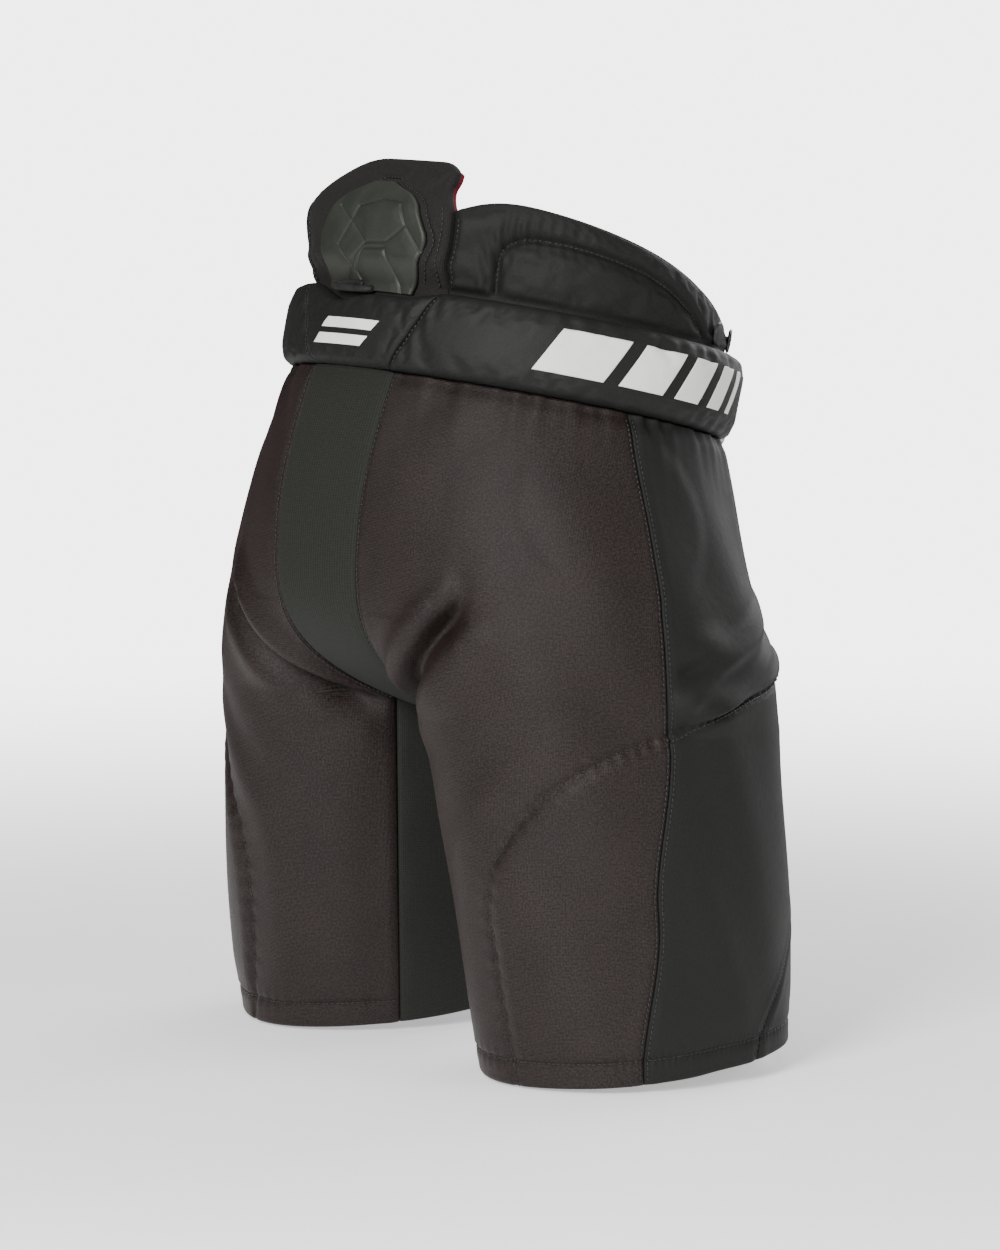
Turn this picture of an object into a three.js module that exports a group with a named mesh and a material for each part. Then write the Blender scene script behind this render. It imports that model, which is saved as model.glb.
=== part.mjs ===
// Ice hockey pants: padded shorts with a raised spine pad, kidney pads, a quilted belt,
// moulded guards in their pockets and two leg tubes that swing at the hips.
// Millimetres. +Z is up, the wearer faces -Y and the wearer's left is +X.
// The origin is the middle of the belt ring. Every piece is one closed solid.
import * as THREE from "three";

// ---------------------------------------------------------------- driving dimensions
const CLEAR = 0.4; // gap that touching pieces keep
const POCKET = 1.1; // play of a curved piece inside another
const WALL = 3; // a fabric panel with its lining

// the belt ring, which tilts down to the front
const beltTilt = THREE.MathUtils.degToRad(13.5);
const beltHalfWidth = 175;
const beltHalfDepth = 144;
const beltThick = 14;
const beltRim = 5;
const beltHeight = 56;
const beltBackHeight = 50;
const beltFrontGap = 20;
const beltJoin = 0.2; // degrees between a side segment's end and the seam line
const beltBackTop = 25; // half angle of the back segment along its top edge, degrees
const beltBackFoot = 14;

// the seat, from the belt down to the crotch
const waistHalfWidth = 168;
const waistHalfDepth = 134;
const hipHalfWidth = 228;
const hipHalfDepth = 160;
const hipDrop = 200;
const seatDrop = 75;
const waistShift = 5;
const hipShift = 16;
const gussetHalfWidth = 44;
const gussetSeam = 1;
const gussetBulge = 3;
const flyHalfWidth = 24;
const flyDepth = 90;
const forkTop = -120;
const crotch = -235;
const forkPower = 4;

// the legs, crotch to hem
const hem = -457;
const hemSlope = -0.085;
const hemHeight = 12;
const hemThick = 5;
const hemRoll = 0.6; // the band stands out this far past the panels
const crotchLeg = { x: 110, y: 15, outer: 110, inner: 91, depth: 129 };
const hemLeg = { x: 136, y: 1, outer: 95, inner: 91, depth: 112 };
const inseam = 62; // where the inner thigh panel starts, degrees in from back and front

// the hip hinge, and the wedge of soft fabric that lets the leg swing
const hingeY = 15;
const foldTop = -238.6;
const foldNarrow = 5;
const forwardSlope = 0.48;
const backwardSlope = 0.16;

// the pads above the belt
const spineHalfWidth = 80;
const spineTop = 116;
const spineFoot = 14;
const spineCorner = { width: 50, height: 46 };
const spineThick = 7;
const spineLinerThick = 6;
const spineFlatten = 0.35; // how much of the waist's curve is left at the pad's top
const spineBulge = 14; // how far the pad stands back of the belt's line at its middle
const spineBulgeAt = 72;
const spineCurl = -4; // and at its top, which curls forward
const spinePlay = 2; // room to lean back inside the belt
const capThick = 3.4;
const capTop = 101;
const capFoot = 35;
const kidneyThick = 14;
const kidneyRim = 5;
const kidneyFoot = -22;
const kidneyPeak = 93;
const kidneyPeakAt = 48;
const kidneyEndAt = 150;
const kidneyFall = 1.75; // how late the top edge falls towards the front
const kidneyLean = 0.06;

// guards and foam inside the pockets, between two lines on the cloth and two edges
const guardThick = 5;
const foamThick = 10;
const thighGuard = { from: 0.1, to: 0.78, belowFold: 12, aboveHem: 14 };
const hipGuard = { from: -0.42, to: 0.42, belowBelt: 38, aboveFold: 22 };
const tailbone = { from: 2 / 12, to: 9 / 12, width: 0.8 };
const linerThick = 2;
const linerEndAt = 162;
const linerMargin = 5;
const tongueThick = 6;
const tongueMargin = 14;

// metal and plastic hardware
const buttonRadius = 8.5;
const buttonAt = { outer: 115, inner: 132 };
const eyeletRadius = 6;
const eyeletBore = 3;
const eyeletThick = 1.6;
const eyeletDrop = 18;
const eyeletPitch = 24;
const eyeletInset = 0.035; // of the quarter turn, in from the fly's edge
const strapWidth = 38;
const strapThick = 1.6;
const strapHalfSpan = 32; // degrees each way from the front
const buckleWidth = 44;
const buckleHeight = 54;
const buckleThick = 5;
const buckleBar = 6;
const buckleSink = 0.6; // the flat frame sinks this far over the strap's curve
const buckleAt = -163;
const pinRadius = 1.6;
const leverThick = 3;
const leverGap = 3; // between the lever and the frame, above, below and at its free end
const laceRadius = 2.5;

// ---------------------------------------------------------------- small helpers
const { lerp, clamp, degToRad, radToDeg, smoothstep } = THREE.MathUtils;
const sind = (angle) => Math.sin(degToRad(angle));
const cosd = (angle) => Math.cos(degToRad(angle));
const asind = (ratio) => radToDeg(Math.asin(ratio));
const ease = (t) => 0.5 * (smoothstep(t, 0, 1) + Math.sin((clamp(t, 0, 1) * Math.PI) / 2));

// A value read off a short list of [place, value] knots, eased between them.
function along(knots, place) {
  let i = 0;
  while (i < knots.length - 2 && place > knots[i + 1][0]) i += 1;
  const [from, low] = knots[i];
  const [to, high] = knots[i + 1];
  return lerp(low, high, smoothstep(place, from, to));
}

// A closed shell between two surfaces. Both take (p, q) from 0 to 1: p runs from the back
// round by the side to the front, q runs down. `ring` joins the last column to the first.
function shell(outer, inner, columns, rows, ring = false) {
  const wide = ring ? columns : columns + 1;
  const points = [];
  const faces = [];
  const at = (layer, i, j) => layer * wide * (rows + 1) + j * wide + (i % wide);
  for (const surface of [outer, inner])
    for (let j = 0; j <= rows; j += 1)
      for (let i = 0; i < wide; i += 1) points.push(surface(i / columns, j / rows));
  const quad = (a, b, c, d) => faces.push(a, b, c, a, c, d);
  for (let j = 0; j < rows; j += 1)
    for (let i = 0; i < columns; i += 1) {
      quad(at(0, i, j), at(0, i + 1, j), at(0, i + 1, j + 1), at(0, i, j + 1));
      quad(at(1, i, j), at(1, i, j + 1), at(1, i + 1, j + 1), at(1, i + 1, j));
    }
  for (let i = 0; i < columns; i += 1) {
    quad(at(0, i + 1, 0), at(0, i, 0), at(1, i, 0), at(1, i + 1, 0));
    quad(at(0, i, rows), at(0, i + 1, rows), at(1, i + 1, rows), at(1, i, rows));
  }
  if (!ring)
    for (let j = 0; j < rows; j += 1) {
      quad(at(0, 0, j), at(0, 0, j + 1), at(1, 0, j + 1), at(1, 0, j));
      quad(at(0, columns, j + 1), at(0, columns, j), at(1, columns, j), at(1, columns, j + 1));
    }
  const geometry = new THREE.BufferGeometry();
  const flat = points.flatMap((v) => v.toArray());
  geometry.setAttribute("position", new THREE.Float32BufferAttribute(flat, 3));
  geometry.setIndex(faces);
  return geometry;
}

// The same geometry on the wearer's other side.
function mirrored(geometry) {
  const copy = geometry.clone();
  copy.scale(-1, 1, 1);
  const index = Array.from(copy.index.array);
  for (let i = 0; i < index.length; i += 3) [index[i + 1], index[i + 2]] = [index[i + 2], index[i + 1]];
  copy.setIndex(index);
  return copy;
}

// ---------------------------------------------------------------- materials
const finish = (color, roughness, metalness = 0) =>
  new THREE.MeshStandardMaterial({ color, roughness, metalness });
const finishes = {
  weave: finish(0x3f3a37, 0.75),
  nylon: finish(0x353532, 0.6),
  beltNylon: finish(0x3b3b39, 0.55),
  knit: finish(0x383a35, 0.85),
  mesh: finish(0x1f2022, 0.9),
  red: finish(0xc0324c, 0.8),
  rubber: finish(0x41433e, 0.5),
  plastic: finish(0x24282c, 0.45),
  foam: finish(0x9a9a94, 0.95),
  webbing: finish(0x1c1c1c, 0.7),
  metal: finish(0xb9bbbe, 0.35, 0.9),
  lace: finish(0x2a2a2a, 0.8),
};

const pants = new THREE.Group();
const waist = new THREE.Group(); // the belt's own tilted frame
waist.rotation.x = beltTilt;
pants.add(waist);

function add(parent, name, geometry, material) {
  const mesh = new THREE.Mesh(geometry, material);
  mesh.name = name;
  parent.add(mesh);
  return mesh;
}

// Adds a piece modelled on the wearer's left, and its mirror image on the right.
function addPair(parent, name, geometry, material) {
  add(parent, name + "_left", geometry, material);
  add(parent, name + "_right", mirrored(geometry), material);
}

// ---------------------------------------------------------------- the fabric surface
// Sections are taken at a nominal height z. The section then tilts with the belt at the top
// and with the hem at the bottom, so each point's height is z + slope(z) * y.
const top = -(beltHeight / 2 + 0.7) / Math.cos(beltTilt);
const slope = (z) => lerp(Math.tan(beltTilt), hemSlope, (top - z) / (top - hem));
const fork = (z) => clamp((forkTop - z) / (forkTop - crotch), 0, 1) ** forkPower;

// One side of the waist and hips: an ellipse arc, at an angle from the back.
function torsoPoint(angle, z) {
  const drop = top - z;
  const halfWidth = lerp(waistHalfWidth, hipHalfWidth, ease(drop / hipDrop));
  const halfDepth = lerp(waistHalfDepth, hipHalfDepth, 1 - Math.exp(-drop / seatDrop));
  const middle = lerp(waistShift, hipShift, ease(drop / 100));
  return new THREE.Vector3(halfWidth * sind(angle), middle + halfDepth * cosd(angle), z);
}

// One leg tube: an ellipse that is fuller outside than inside.
function legPoint(angle, z) {
  const t = clamp((crotch - z) / (crotch - hem), 0, 1);
  const size = (key) => lerp(crotchLeg[key], hemLeg[key], t);
  const across = sind(angle) > 0 ? size("outer") : size("inner");
  return new THREE.Vector3(size("x") + across * sind(angle), size("y") + size("depth") * cosd(angle), z);
}

// The outer cloth at s from -1, the back edge of the gusset, to 1, its front edge.
// It is the torso's arc above the fork, the leg's tube below it, and a mix between.
function clothAt(s, z) {
  const edge = s < 0 ? gussetHalfWidth : flyHalfWidth;
  const reach = 90 - asind(edge / torsoPoint(90, z).x);
  const torso = torsoPoint(90 + reach * s, z);
  const leg = legPoint(90 + (90 + inseam) * (0.5 * s + 0.5 * s ** 3), z);
  return torso.lerp(leg, fork(z));
}

const tilted = (point, z) => point.clone().setZ(z + slope(z) * point.y);

// A surface moved inwards by a depth along its own normal.
function inset(surface, a, b, depth, stepA, stepB) {
  const here = surface(a, b);
  if (depth === 0) return here;
  const across = surface(a + stepA, b).sub(surface(a - stepA, b));
  const down = surface(a, b - stepB).sub(surface(a, b + stepB));
  return here.addScaledVector(across.cross(down).normalize(), -depth);
}

const cloth = (s, z, depth = 0) => inset((a, b) => tilted(clothAt(a, b), b), s, z, depth, 0.004, 1);
const thigh = (angle, z, depth = 0) => inset((a, b) => tilted(legPoint(a, b), b), angle, z, depth, 0.5, 1);

// ---------------------------------------------------------------- seams on the cloth
// A seam is a line s(z): the side seam runs down behind the hip and back towards the hem,
// and the front seam crosses the thigh to the front.
const sideKnots = [[hem, -0.36], [-350, -0.25], [crotch, -0.14], [-110, -0.1], [top, -0.14]];
const frontKnots = [[hem, 0.21], [-350, 0.61], [crotch, 0.66], [top, 0.62]];
const sideSeam = (z) => along(sideKnots, z);
const frontSeam = (z) => along(frontKnots, z);
const seamGap = 0.0016;

// The bottom edge of the seat cloth, and the top edge of the leg cloth: a wedge that opens
// forwards and backwards from the hip hinge, and which the soft fold fills.
const hipEdge = foldTop + 2 * CLEAR;
const legEdgeAt = (y) => {
  const ahead = Math.max(hingeY - y, 0);
  const behind = Math.max(y - hingeY, 0);
  return foldTop - foldNarrow - forwardSlope * ahead - backwardSlope * behind;
};
const hemEdge = hem + hemHeight;

// A cloth panel between two seams and two edges, from one depth to another. A seam is a
// function of the height and an edge is one of s, so where they cross is found by stepping.
function panel(fromSeam, toSeam, fromEdge, toEdge, depths, columns, rows) {
  const acrossAt = (p, z) => lerp(fromSeam(z) + seamGap, toSeam(z) - seamGap, p);
  const crossing = (edge, p) => {
    let z = edge(0);
    for (let step = 0; step < 12; step += 1) z = lerp(z, edge(acrossAt(p, z)), 0.7);
    return z;
  };
  const face = (depth) => (p, q) => {
    const z = lerp(crossing(fromEdge, p), crossing(toEdge, p), q);
    return cloth(acrossAt(p, z), z, depth);
  };
  return shell(face(depths[0]), face(depths[1]), columns, rows);
}

const backEdge = () => -1;
const frontEdge = () => 1;
const waistLine = () => top;
const hipLine = () => hipEdge;
const legLine = (s) => legEdgeAt(clothAt(s, foldTop - foldNarrow).y) - POCKET;
const hemLine = () => hemEdge + POCKET;
const skin = [0, WALL];

// ---------------------------------------------------------------- the seat
function makeSeat() {
  const { weave, nylon } = finishes;
  addPair(pants, "seat_panel", panel(backEdge, sideSeam, waistLine, hipLine, skin, 7, 12), weave);
  addPair(pants, "hip_panel", panel(sideSeam, frontSeam, waistLine, hipLine, skin, 7, 10), nylon);
  addPair(pants, "front_panel", panel(frontSeam, frontEdge, waistLine, hipLine, skin, 5, 12), nylon);
}

// The gusset runs down behind, under the crotch and up to the foot of the fly. Its edge is the
// edge of the seat panels, then the top of the inner thighs.
function gussetEdge(w) {
  const flyFoot = top - flyDepth;
  if (w <= 1) return cloth(-1, lerp(top, crotch, w));
  if (w <= 2) return thigh(lerp(-inseam, inseam - 180, w - 1), crotch);
  return cloth(1, lerp(crotch, flyFoot, w - 2));
}

function gussetPoint(across, w, depth) {
  const step = 0.02;
  const edge = gussetEdge(w);
  const ahead = gussetEdge(Math.min(w + step, 3));
  const behind = gussetEdge(Math.max(w - step, 0));
  const run = ahead.sub(behind).setX(0).normalize();
  const out = new THREE.Vector3(0, -run.z, run.y);
  const bulge = gussetBulge * (1 - across * across);
  const x = across * (edge.x - gussetSeam);
  return new THREE.Vector3(x, edge.y, edge.z).addScaledVector(out, bulge - depth);
}

function gussetStrip(from, to, width, depths, columns, rows) {
  const face = (depth) => (p, q) => gussetPoint(width * lerp(1, -1, p), lerp(from, to, q), depth);
  return shell(face(depths[1]), face(depths[0]), columns, rows);
}

function makeGusset() {
  add(pants, "crotch_gusset", gussetStrip(0, 3, 1, skin, 4, 36), finishes.knit);
  const depths = [WALL + CLEAR, WALL + CLEAR + guardThick];
  const guard = gussetStrip(tailbone.from, tailbone.to, tailbone.width, depths, 4, 7);
  add(pants, "tailbone_guard", guard, finishes.plastic);
}

// ---------------------------------------------------------------- the legs
// A band all round one leg. Its rims are level across their thickness, so the hem sits flat.
function legRing(fromEdge, toEdge, depths, columns, rows) {
  const face = (depth) => (p, q) => {
    const angle = 360 * p;
    const guess = legPoint(angle, crotch);
    const z = lerp(fromEdge(guess.y), toEdge(guess.y), q);
    return tilted(thigh(angle, z, depth), z);
  };
  return shell(face(depths[0]), face(depths[1]), columns, rows, true);
}

function innerThigh() {
  const gap = 0.3;
  const face = (depth) => (p, q) => {
    const angle = lerp(180 + inseam + gap, 360 - inseam - gap, p);
    const start = legEdgeAt(legPoint(angle, crotch).y) - POCKET;
    return thigh(angle, lerp(start, hemEdge + POCKET, q), depth);
  };
  return shell(face(0), face(WALL), 5, 8);
}

// A moulded plate or a foam pad in a pocket, level along its top and foot.
function pocketPiece(span, upper, lower, depth, thick, rows) {
  const depths = [depth, depth + thick];
  return panel(() => span.from, () => span.to, () => upper, () => lower, depths, 12, rows);
}

function makeLegs() {
  const { weave, nylon, knit, plastic, foam } = finishes;
  addPair(pants, "thigh_back_panel", panel(backEdge, sideSeam, legLine, hemLine, skin, 9, 6), weave);
  addPair(pants, "thigh_side_panel", panel(sideSeam, frontSeam, legLine, hemLine, skin, 8, 6), nylon);
  addPair(pants, "thigh_front_panel", panel(frontSeam, frontEdge, legLine, hemLine, skin, 10, 6), nylon);
  addPair(pants, "inner_thigh_panel", innerThigh(), knit);
  addPair(pants, "hip_fold", legRing(() => foldTop, legEdgeAt, skin, 28, 2), weave);
  const hemDepths = [-hemRoll, hemThick];
  addPair(pants, "hem_band", legRing(() => hemEdge, () => hem, hemDepths, 28, 1), nylon);

  const behind = WALL + POCKET;
  const guardTop = legLine(0.5 * (thighGuard.from + 1)) - thighGuard.belowFold;
  const guardFoot = hemEdge + thighGuard.aboveHem;
  const thighPlate = pocketPiece(thighGuard, guardTop, guardFoot, behind, guardThick, 5);
  addPair(pants, "thigh_guard", thighPlate, plastic);
  const foamDepth = behind + guardThick + CLEAR;
  const thighPad = pocketPiece(thighGuard, guardTop, guardFoot, foamDepth, foamThick, 5);
  addPair(pants, "thigh_foam", thighPad, foam);
  const hipTop = top - hipGuard.belowBelt;
  const hipFoot = hipEdge + hipGuard.aboveFold;
  const hipPlate = pocketPiece(hipGuard, hipTop, hipFoot, behind, guardThick, 6);
  addPair(pants, "hip_guard", hipPlate, plastic);
}

// ---------------------------------------------------------------- the belt
// A point on the belt's inner ellipse in the belt's frame, moved out by a distance.
function beltPoint(angle, height, out) {
  const a = beltHalfWidth - beltThick;
  const b = beltHalfDepth - beltThick;
  const normal = new THREE.Vector2(b * sind(angle), a * cosd(angle)).normalize();
  return new THREE.Vector3(a * sind(angle) + normal.x * out, b * cosd(angle) + normal.y * out, height);
}

const pillow = (q, rim, full) => rim + (full - rim) * (1 - Math.abs(2 * q - 1) ** 2.6);

function beltSegment(fromAngle, toAngle, height, columns) {
  const foot = -beltHeight / 2;
  const face = (outside) => (p, q) => {
    const level = lerp(foot + height, foot, q);
    const angle = lerp(fromAngle(level), toAngle(level), p);
    return beltPoint(angle, level, outside * pillow(q, beltRim, beltThick));
  };
  return shell(face(1), face(0), columns, 6);
}

function makeBelt() {
  const seam = (level) => lerp(beltBackFoot, beltBackTop, 0.5 + level / beltHeight);
  const join = beltJoin;
  const end = 180 - asind(beltFrontGap / beltHalfWidth);
  const side = beltSegment((level) => seam(level) + join, () => end, beltHeight, 24);
  addPair(waist, "waist_belt", side, finishes.beltNylon);
  const back = beltSegment((level) => join - seam(level), (level) => seam(level) - join, beltBackHeight, 6);
  add(waist, "waist_belt_back", back, finishes.beltNylon);
}

// ---------------------------------------------------------------- the pads above the belt
const waistCurve = (x) => {
  const a = beltHalfWidth - beltThick;
  return (beltHalfDepth - beltThick) * (1 - Math.sqrt(1 - (x / a) ** 2));
};

// The outer face of the spine pad: it follows the belt's inside below and flattens above.
function spineFace(x, height, out) {
  const above = clamp((height - beltHeight / 2) / (spineTop - beltHeight / 2), 0, 1);
  const stand = along([[beltHeight / 2, 0], [spineBulgeAt, spineBulge], [spineTop, spineCurl]], height);
  const y = beltHalfDepth - beltThick - spinePlay - waistCurve(x) * lerp(1, spineFlatten, above) + stand;
  return new THREE.Vector3(x, y + out, height);
}

function spineOutline(x) {
  const past = clamp((Math.abs(x) - spineHalfWidth + spineCorner.width) / spineCorner.width, 0, 1);
  return spineTop - spineCorner.height * (1 - Math.sqrt(1 - past ** 2));
}

function spineLayer(near, far) {
  const face = (out) => (p, q) => {
    const x = spineHalfWidth * Math.sin((Math.PI / 2) * lerp(-1, 1, p));
    return spineFace(x, lerp(spineOutline(x), spineFoot, q), out);
  };
  return shell(face(near), face(far), 14, 9);
}

// The moulded cap is a long hexagon: widest a little above its middle.
const capWidth = (q) => along([[0, 16], [0.18, 40], [0.55, 56], [1, 43]], q);

function makeSpine() {
  add(waist, "spine_pad", spineLayer(0, -spineThick), finishes.weave);
  const behind = -spineThick - CLEAR;
  add(waist, "spine_liner", spineLayer(behind, behind - spineLinerThick), finishes.red);
  const face = (out) => (p, q) => spineFace(capWidth(q) * lerp(-1, 1, p), lerp(capTop, capFoot, q), out);
  add(waist, "spine_cap", shell(face(POCKET + capThick), face(POCKET), 10, 8), finishes.rubber);
}

// A kidney pad follows the belt's inside from the spine pad round to the front. Above the belt
// it rises upright, not square to the tilted belt, and its top edge falls towards the front.
function kidneyTop(angle) {
  const ahead = clamp((angle - kidneyPeakAt) / (kidneyEndAt - kidneyPeakAt), 0, 1);
  const behind = clamp((kidneyPeakAt - angle) / 16, 0, 1);
  return lerp(kidneyPeak, beltHeight / 2, ahead ** kidneyFall) - 6 * behind ** 2;
}

// The half width of the kidney pads' ring at a height, `depth` in from their outer face.
const kidneyHalfWidth = (height, depth) =>
  beltHalfWidth - beltThick - POCKET - depth - kidneyLean * Math.max(height - beltHeight / 2, 0);

function kidneyFace(angle, height, depth) {
  const a = kidneyHalfWidth(height, depth);
  const b = a + beltHalfDepth - beltHalfWidth;
  const upright = Math.tan(beltTilt) * Math.max(height - beltHeight / 2, 0);
  return new THREE.Vector3(a * sind(angle), b * cosd(angle) + upright, height);
}

function kidneyPoint(p, q, inside) {
  const depth = inside * pillow(q * 0.5, kidneyRim, kidneyThick);
  const startAt = (height) => asind((spineHalfWidth + CLEAR) / kidneyHalfWidth(height, depth));
  const height = lerp(kidneyTop(lerp(startAt(beltHeight / 2), kidneyEndAt, p)), kidneyFoot, q);
  return kidneyFace(lerp(startAt(height), kidneyEndAt, p), height, depth);
}

function makeKidneyPads() {
  const face = (inside) => (p, q) => kidneyPoint(p, q, inside);
  addPair(waist, "kidney_pad", shell(face(0), face(1), 16, 6), finishes.nylon);
}

// The mesh liner closes the inside of the waist, below the foot of the spine pad.
function makeWaistLiner() {
  const reach = kidneyThick + 2 * POCKET;
  const face = (depth) => (p, q) => {
    const a = beltHalfWidth - beltThick - reach - depth;
    const b = beltHalfDepth - beltThick - reach - depth;
    const angle = lerp(-linerEndAt, linerEndAt, p);
    const height = lerp(spineFoot - linerMargin, kidneyFoot - linerMargin, q);
    return new THREE.Vector3(a * sind(angle), b * cosd(angle), height);
  };
  add(waist, "waist_liner", shell(face(0), face(linerThick), 28, 2), finishes.mesh);
}

// ---------------------------------------------------------------- the fly
// The tongue closes the fly from inside and follows the curve of the front.
function makeFly() {
  const halfWidth = flyHalfWidth + tongueMargin;
  const face = (depth) => (p, q) => {
    const z = lerp(top - 4, top - flyDepth + 3, q);
    const angle = 180 - asind((halfWidth * lerp(1, -1, p)) / torsoPoint(90, z).x);
    const front = tilted(torsoPoint(angle, z), z);
    return front.setY(front.y + depth);
  };
  const depth = WALL + POCKET;
  add(pants, "fly_tongue", shell(face(depth), face(depth + tongueThick), 6, 6), finishes.knit);
}

// ---------------------------------------------------------------- hardware
// A round piece turned about the outward normal of a place on the surface.
function turned(profile, place, outward, segments = 20) {
  const geometry = new THREE.LatheGeometry(profile.map(([r, h]) => new THREE.Vector2(r, h)), segments);
  geometry.applyQuaternion(new THREE.Quaternion().setFromUnitVectors(new THREE.Vector3(0, 1, 0), outward));
  geometry.translate(place.x, place.y, place.z);
  return geometry;
}

// Three lace eyelets down each edge of the fly.
function makeEyelets() {
  const r = eyeletRadius;
  const bore = eyeletBore;
  const thick = eyeletThick;
  const ring = [[bore, 0], [r, 0], [r, 0.6 * thick], [r - 1, thick], [bore, thick], [bore, 0]];
  const names = ["upper", "middle", "lower"];
  names.forEach((name, i) => {
    const z = top - eyeletDrop - eyeletPitch * i;
    const s = 1 - eyeletInset;
    const place = cloth(s, z, -CLEAR);
    const outward = place.clone().sub(cloth(s, z, 1)).normalize();
    for (const [side, sign] of [["left", 1], ["right", -1]]) {
      const at = new THREE.Vector3(sign * place.x, place.y, place.z);
      const way = new THREE.Vector3(sign * outward.x, outward.y, outward.z);
      add(pants, `eyelet_${name}_${side}`, turned(ring, at, way, 16), finishes.metal);
    }
  });
}

// Brace buttons stand on the front ends of the kidney pads, just above the belt.
function makeButtons() {
  const r = buttonRadius;
  const profile = [[0, 0], [3, 0], [3, 2], [r - 1.5, 2], [r, 3], [r - 1, 4.2], [3.5, 4.6], [0, 4.6]];
  for (const [name, angle] of Object.entries(buttonAt)) {
    const height = beltHeight / 2 + buttonRadius + 2;
    const face = kidneyFace(angle, height, 0);
    const across = kidneyFace(angle + 1, height, 0).sub(kidneyFace(angle - 1, height, 0));
    const outward = new THREE.Vector3(-across.y, across.x, 0).normalize();
    const place = face.addScaledVector(outward, 2 * CLEAR);
    for (const [side, sign] of [["left", 1], ["right", -1]]) {
      const at = new THREE.Vector3(sign * place.x, place.y, place.z);
      const way = new THREE.Vector3(sign * outward.x, outward.y, outward.z);
      add(waist, `brace_button_${name}_${side}`, turned(profile, at, way), finishes.metal);
    }
  }
}

// A flat outline with one window, thickened outwards from the belt's face.
function plate(width, height, thick, corner, window) {
  const outline = new THREE.Shape();
  const box = (path, w, h, r) => {
    path.moveTo(-w / 2 + r, -h / 2);
    path.lineTo(w / 2 - r, -h / 2);
    path.absarc(w / 2 - r, -h / 2 + r, r, -Math.PI / 2, 0);
    path.absarc(w / 2 - r, h / 2 - r, r, 0, Math.PI / 2);
    path.absarc(-w / 2 + r, h / 2 - r, r, Math.PI / 2, Math.PI);
    path.absarc(-w / 2 + r, -h / 2 + r, r, Math.PI, 1.5 * Math.PI);
  };
  box(outline, width, height, corner);
  if (window) {
    const hole = new THREE.Path();
    box(hole, window[0], window[1], 2);
    outline.holes.push(hole);
  }
  return new THREE.ExtrudeGeometry(outline, { depth: thick, bevelEnabled: false, curveSegments: 3 });
}

function makeBuckle() {
  const band = (from, to, out) => {
    const face = (depth) => (p, q) =>
      beltPoint(lerp(from, to, p), lerp(strapWidth / 2, -strapWidth / 2, q), beltThick + out + depth);
    return shell(face(strapThick), face(0), 16, 1);
  };
  const strap = band(180 - strapHalfSpan, 180 + strapHalfSpan, CLEAR);
  add(waist, "belt_strap", strap, finishes.webbing);

  const seat = new THREE.Group(); // stands on the strap: x along the belt, z out of it
  seat.position.copy(beltPoint(buckleAt, 0, beltThick + strapThick + 2 * CLEAR - buckleSink));
  const outward = beltPoint(buckleAt, 0, 1).sub(beltPoint(buckleAt, 0, 0));
  const alongBelt = new THREE.Vector3(0, 0, 1).cross(outward).normalize();
  const upBelt = outward.clone().cross(alongBelt);
  seat.quaternion.setFromRotationMatrix(new THREE.Matrix4().makeBasis(alongBelt, upBelt, outward));
  waist.add(seat);
  const window = [buckleWidth - 2 * buckleBar, buckleHeight - 2 * buckleBar];
  const frame = plate(buckleWidth, buckleHeight, buckleThick, buckleBar - 1, window);
  add(seat, "buckle_frame", frame, finishes.metal);

  const pinAt = 2 * pinRadius + CLEAR - window[0] / 2; // clear of the window's round corners
  const pin = new THREE.CylinderGeometry(pinRadius, pinRadius, window[1] - 2 * CLEAR, 12);
  pin.translate(pinAt, 0, buckleThick / 2);
  add(seat, "buckle_pin", pin, finishes.metal);

  const hinged = pinAt + pinRadius + CLEAR;
  const free = window[0] / 2 - leverGap;
  const lever = plate(free - hinged, window[1] - 2 * leverGap, leverThick, buckleBar - 2);
  lever.translate((hinged + free) / 2, 0, (buckleThick - leverThick) / 2);
  add(seat, "buckle_lever", lever, finishes.metal);
}

// ---------------------------------------------------------------- the rear lace
// A short braided cord that comes up between the spine pad and the belt, loops once over the
// belt's edge and goes back.
const laceRoute = [
  [-5, 132.3, 25.6], [-7, 134.6, 24.8], [-2, 137.4, 24.2], [8, 138.5, 24], [19, 138, 24],
  [29, 136.2, 24.4], [33, 133.4, 25.6], [29, 131.4, 27.6], [20, 132, 28.6], [10, 132.4, 28.6],
  [4, 132.7, 27.8],
];

function makeLace() {
  const path = new THREE.CatmullRomCurve3(laceRoute.map((v) => new THREE.Vector3(...v)));
  const section = new THREE.Shape();
  section.absarc(0, 0, laceRadius, 0, 2 * Math.PI);
  const options = { steps: 24, extrudePath: path, curveSegments: 4, bevelEnabled: false };
  add(waist, "rear_lace", new THREE.ExtrudeGeometry(section, options), finishes.lace);
}

makeSeat();
makeGusset();
makeLegs();
makeBelt();
makeSpine();
makeKidneyPads();
makeWaistLiner();
makeFly();
makeEyelets();
makeButtons();
makeBuckle();
makeLace();

export default pants;
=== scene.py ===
# %% [markdown]
# # Ice hockey pants
# The frame is the finished CAD model: belt, pads, panels and their joints. Every visible
# piece is made here as a surface worked out with numpy, in the same axes: +Z up, the wearer
# faces -Y and the wearer's left is +X. Shapes are worked out in millimetres and put into the
# meshes in metres.

import bpy
import numpy as np
from mathutils import Matrix, Vector


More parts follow.
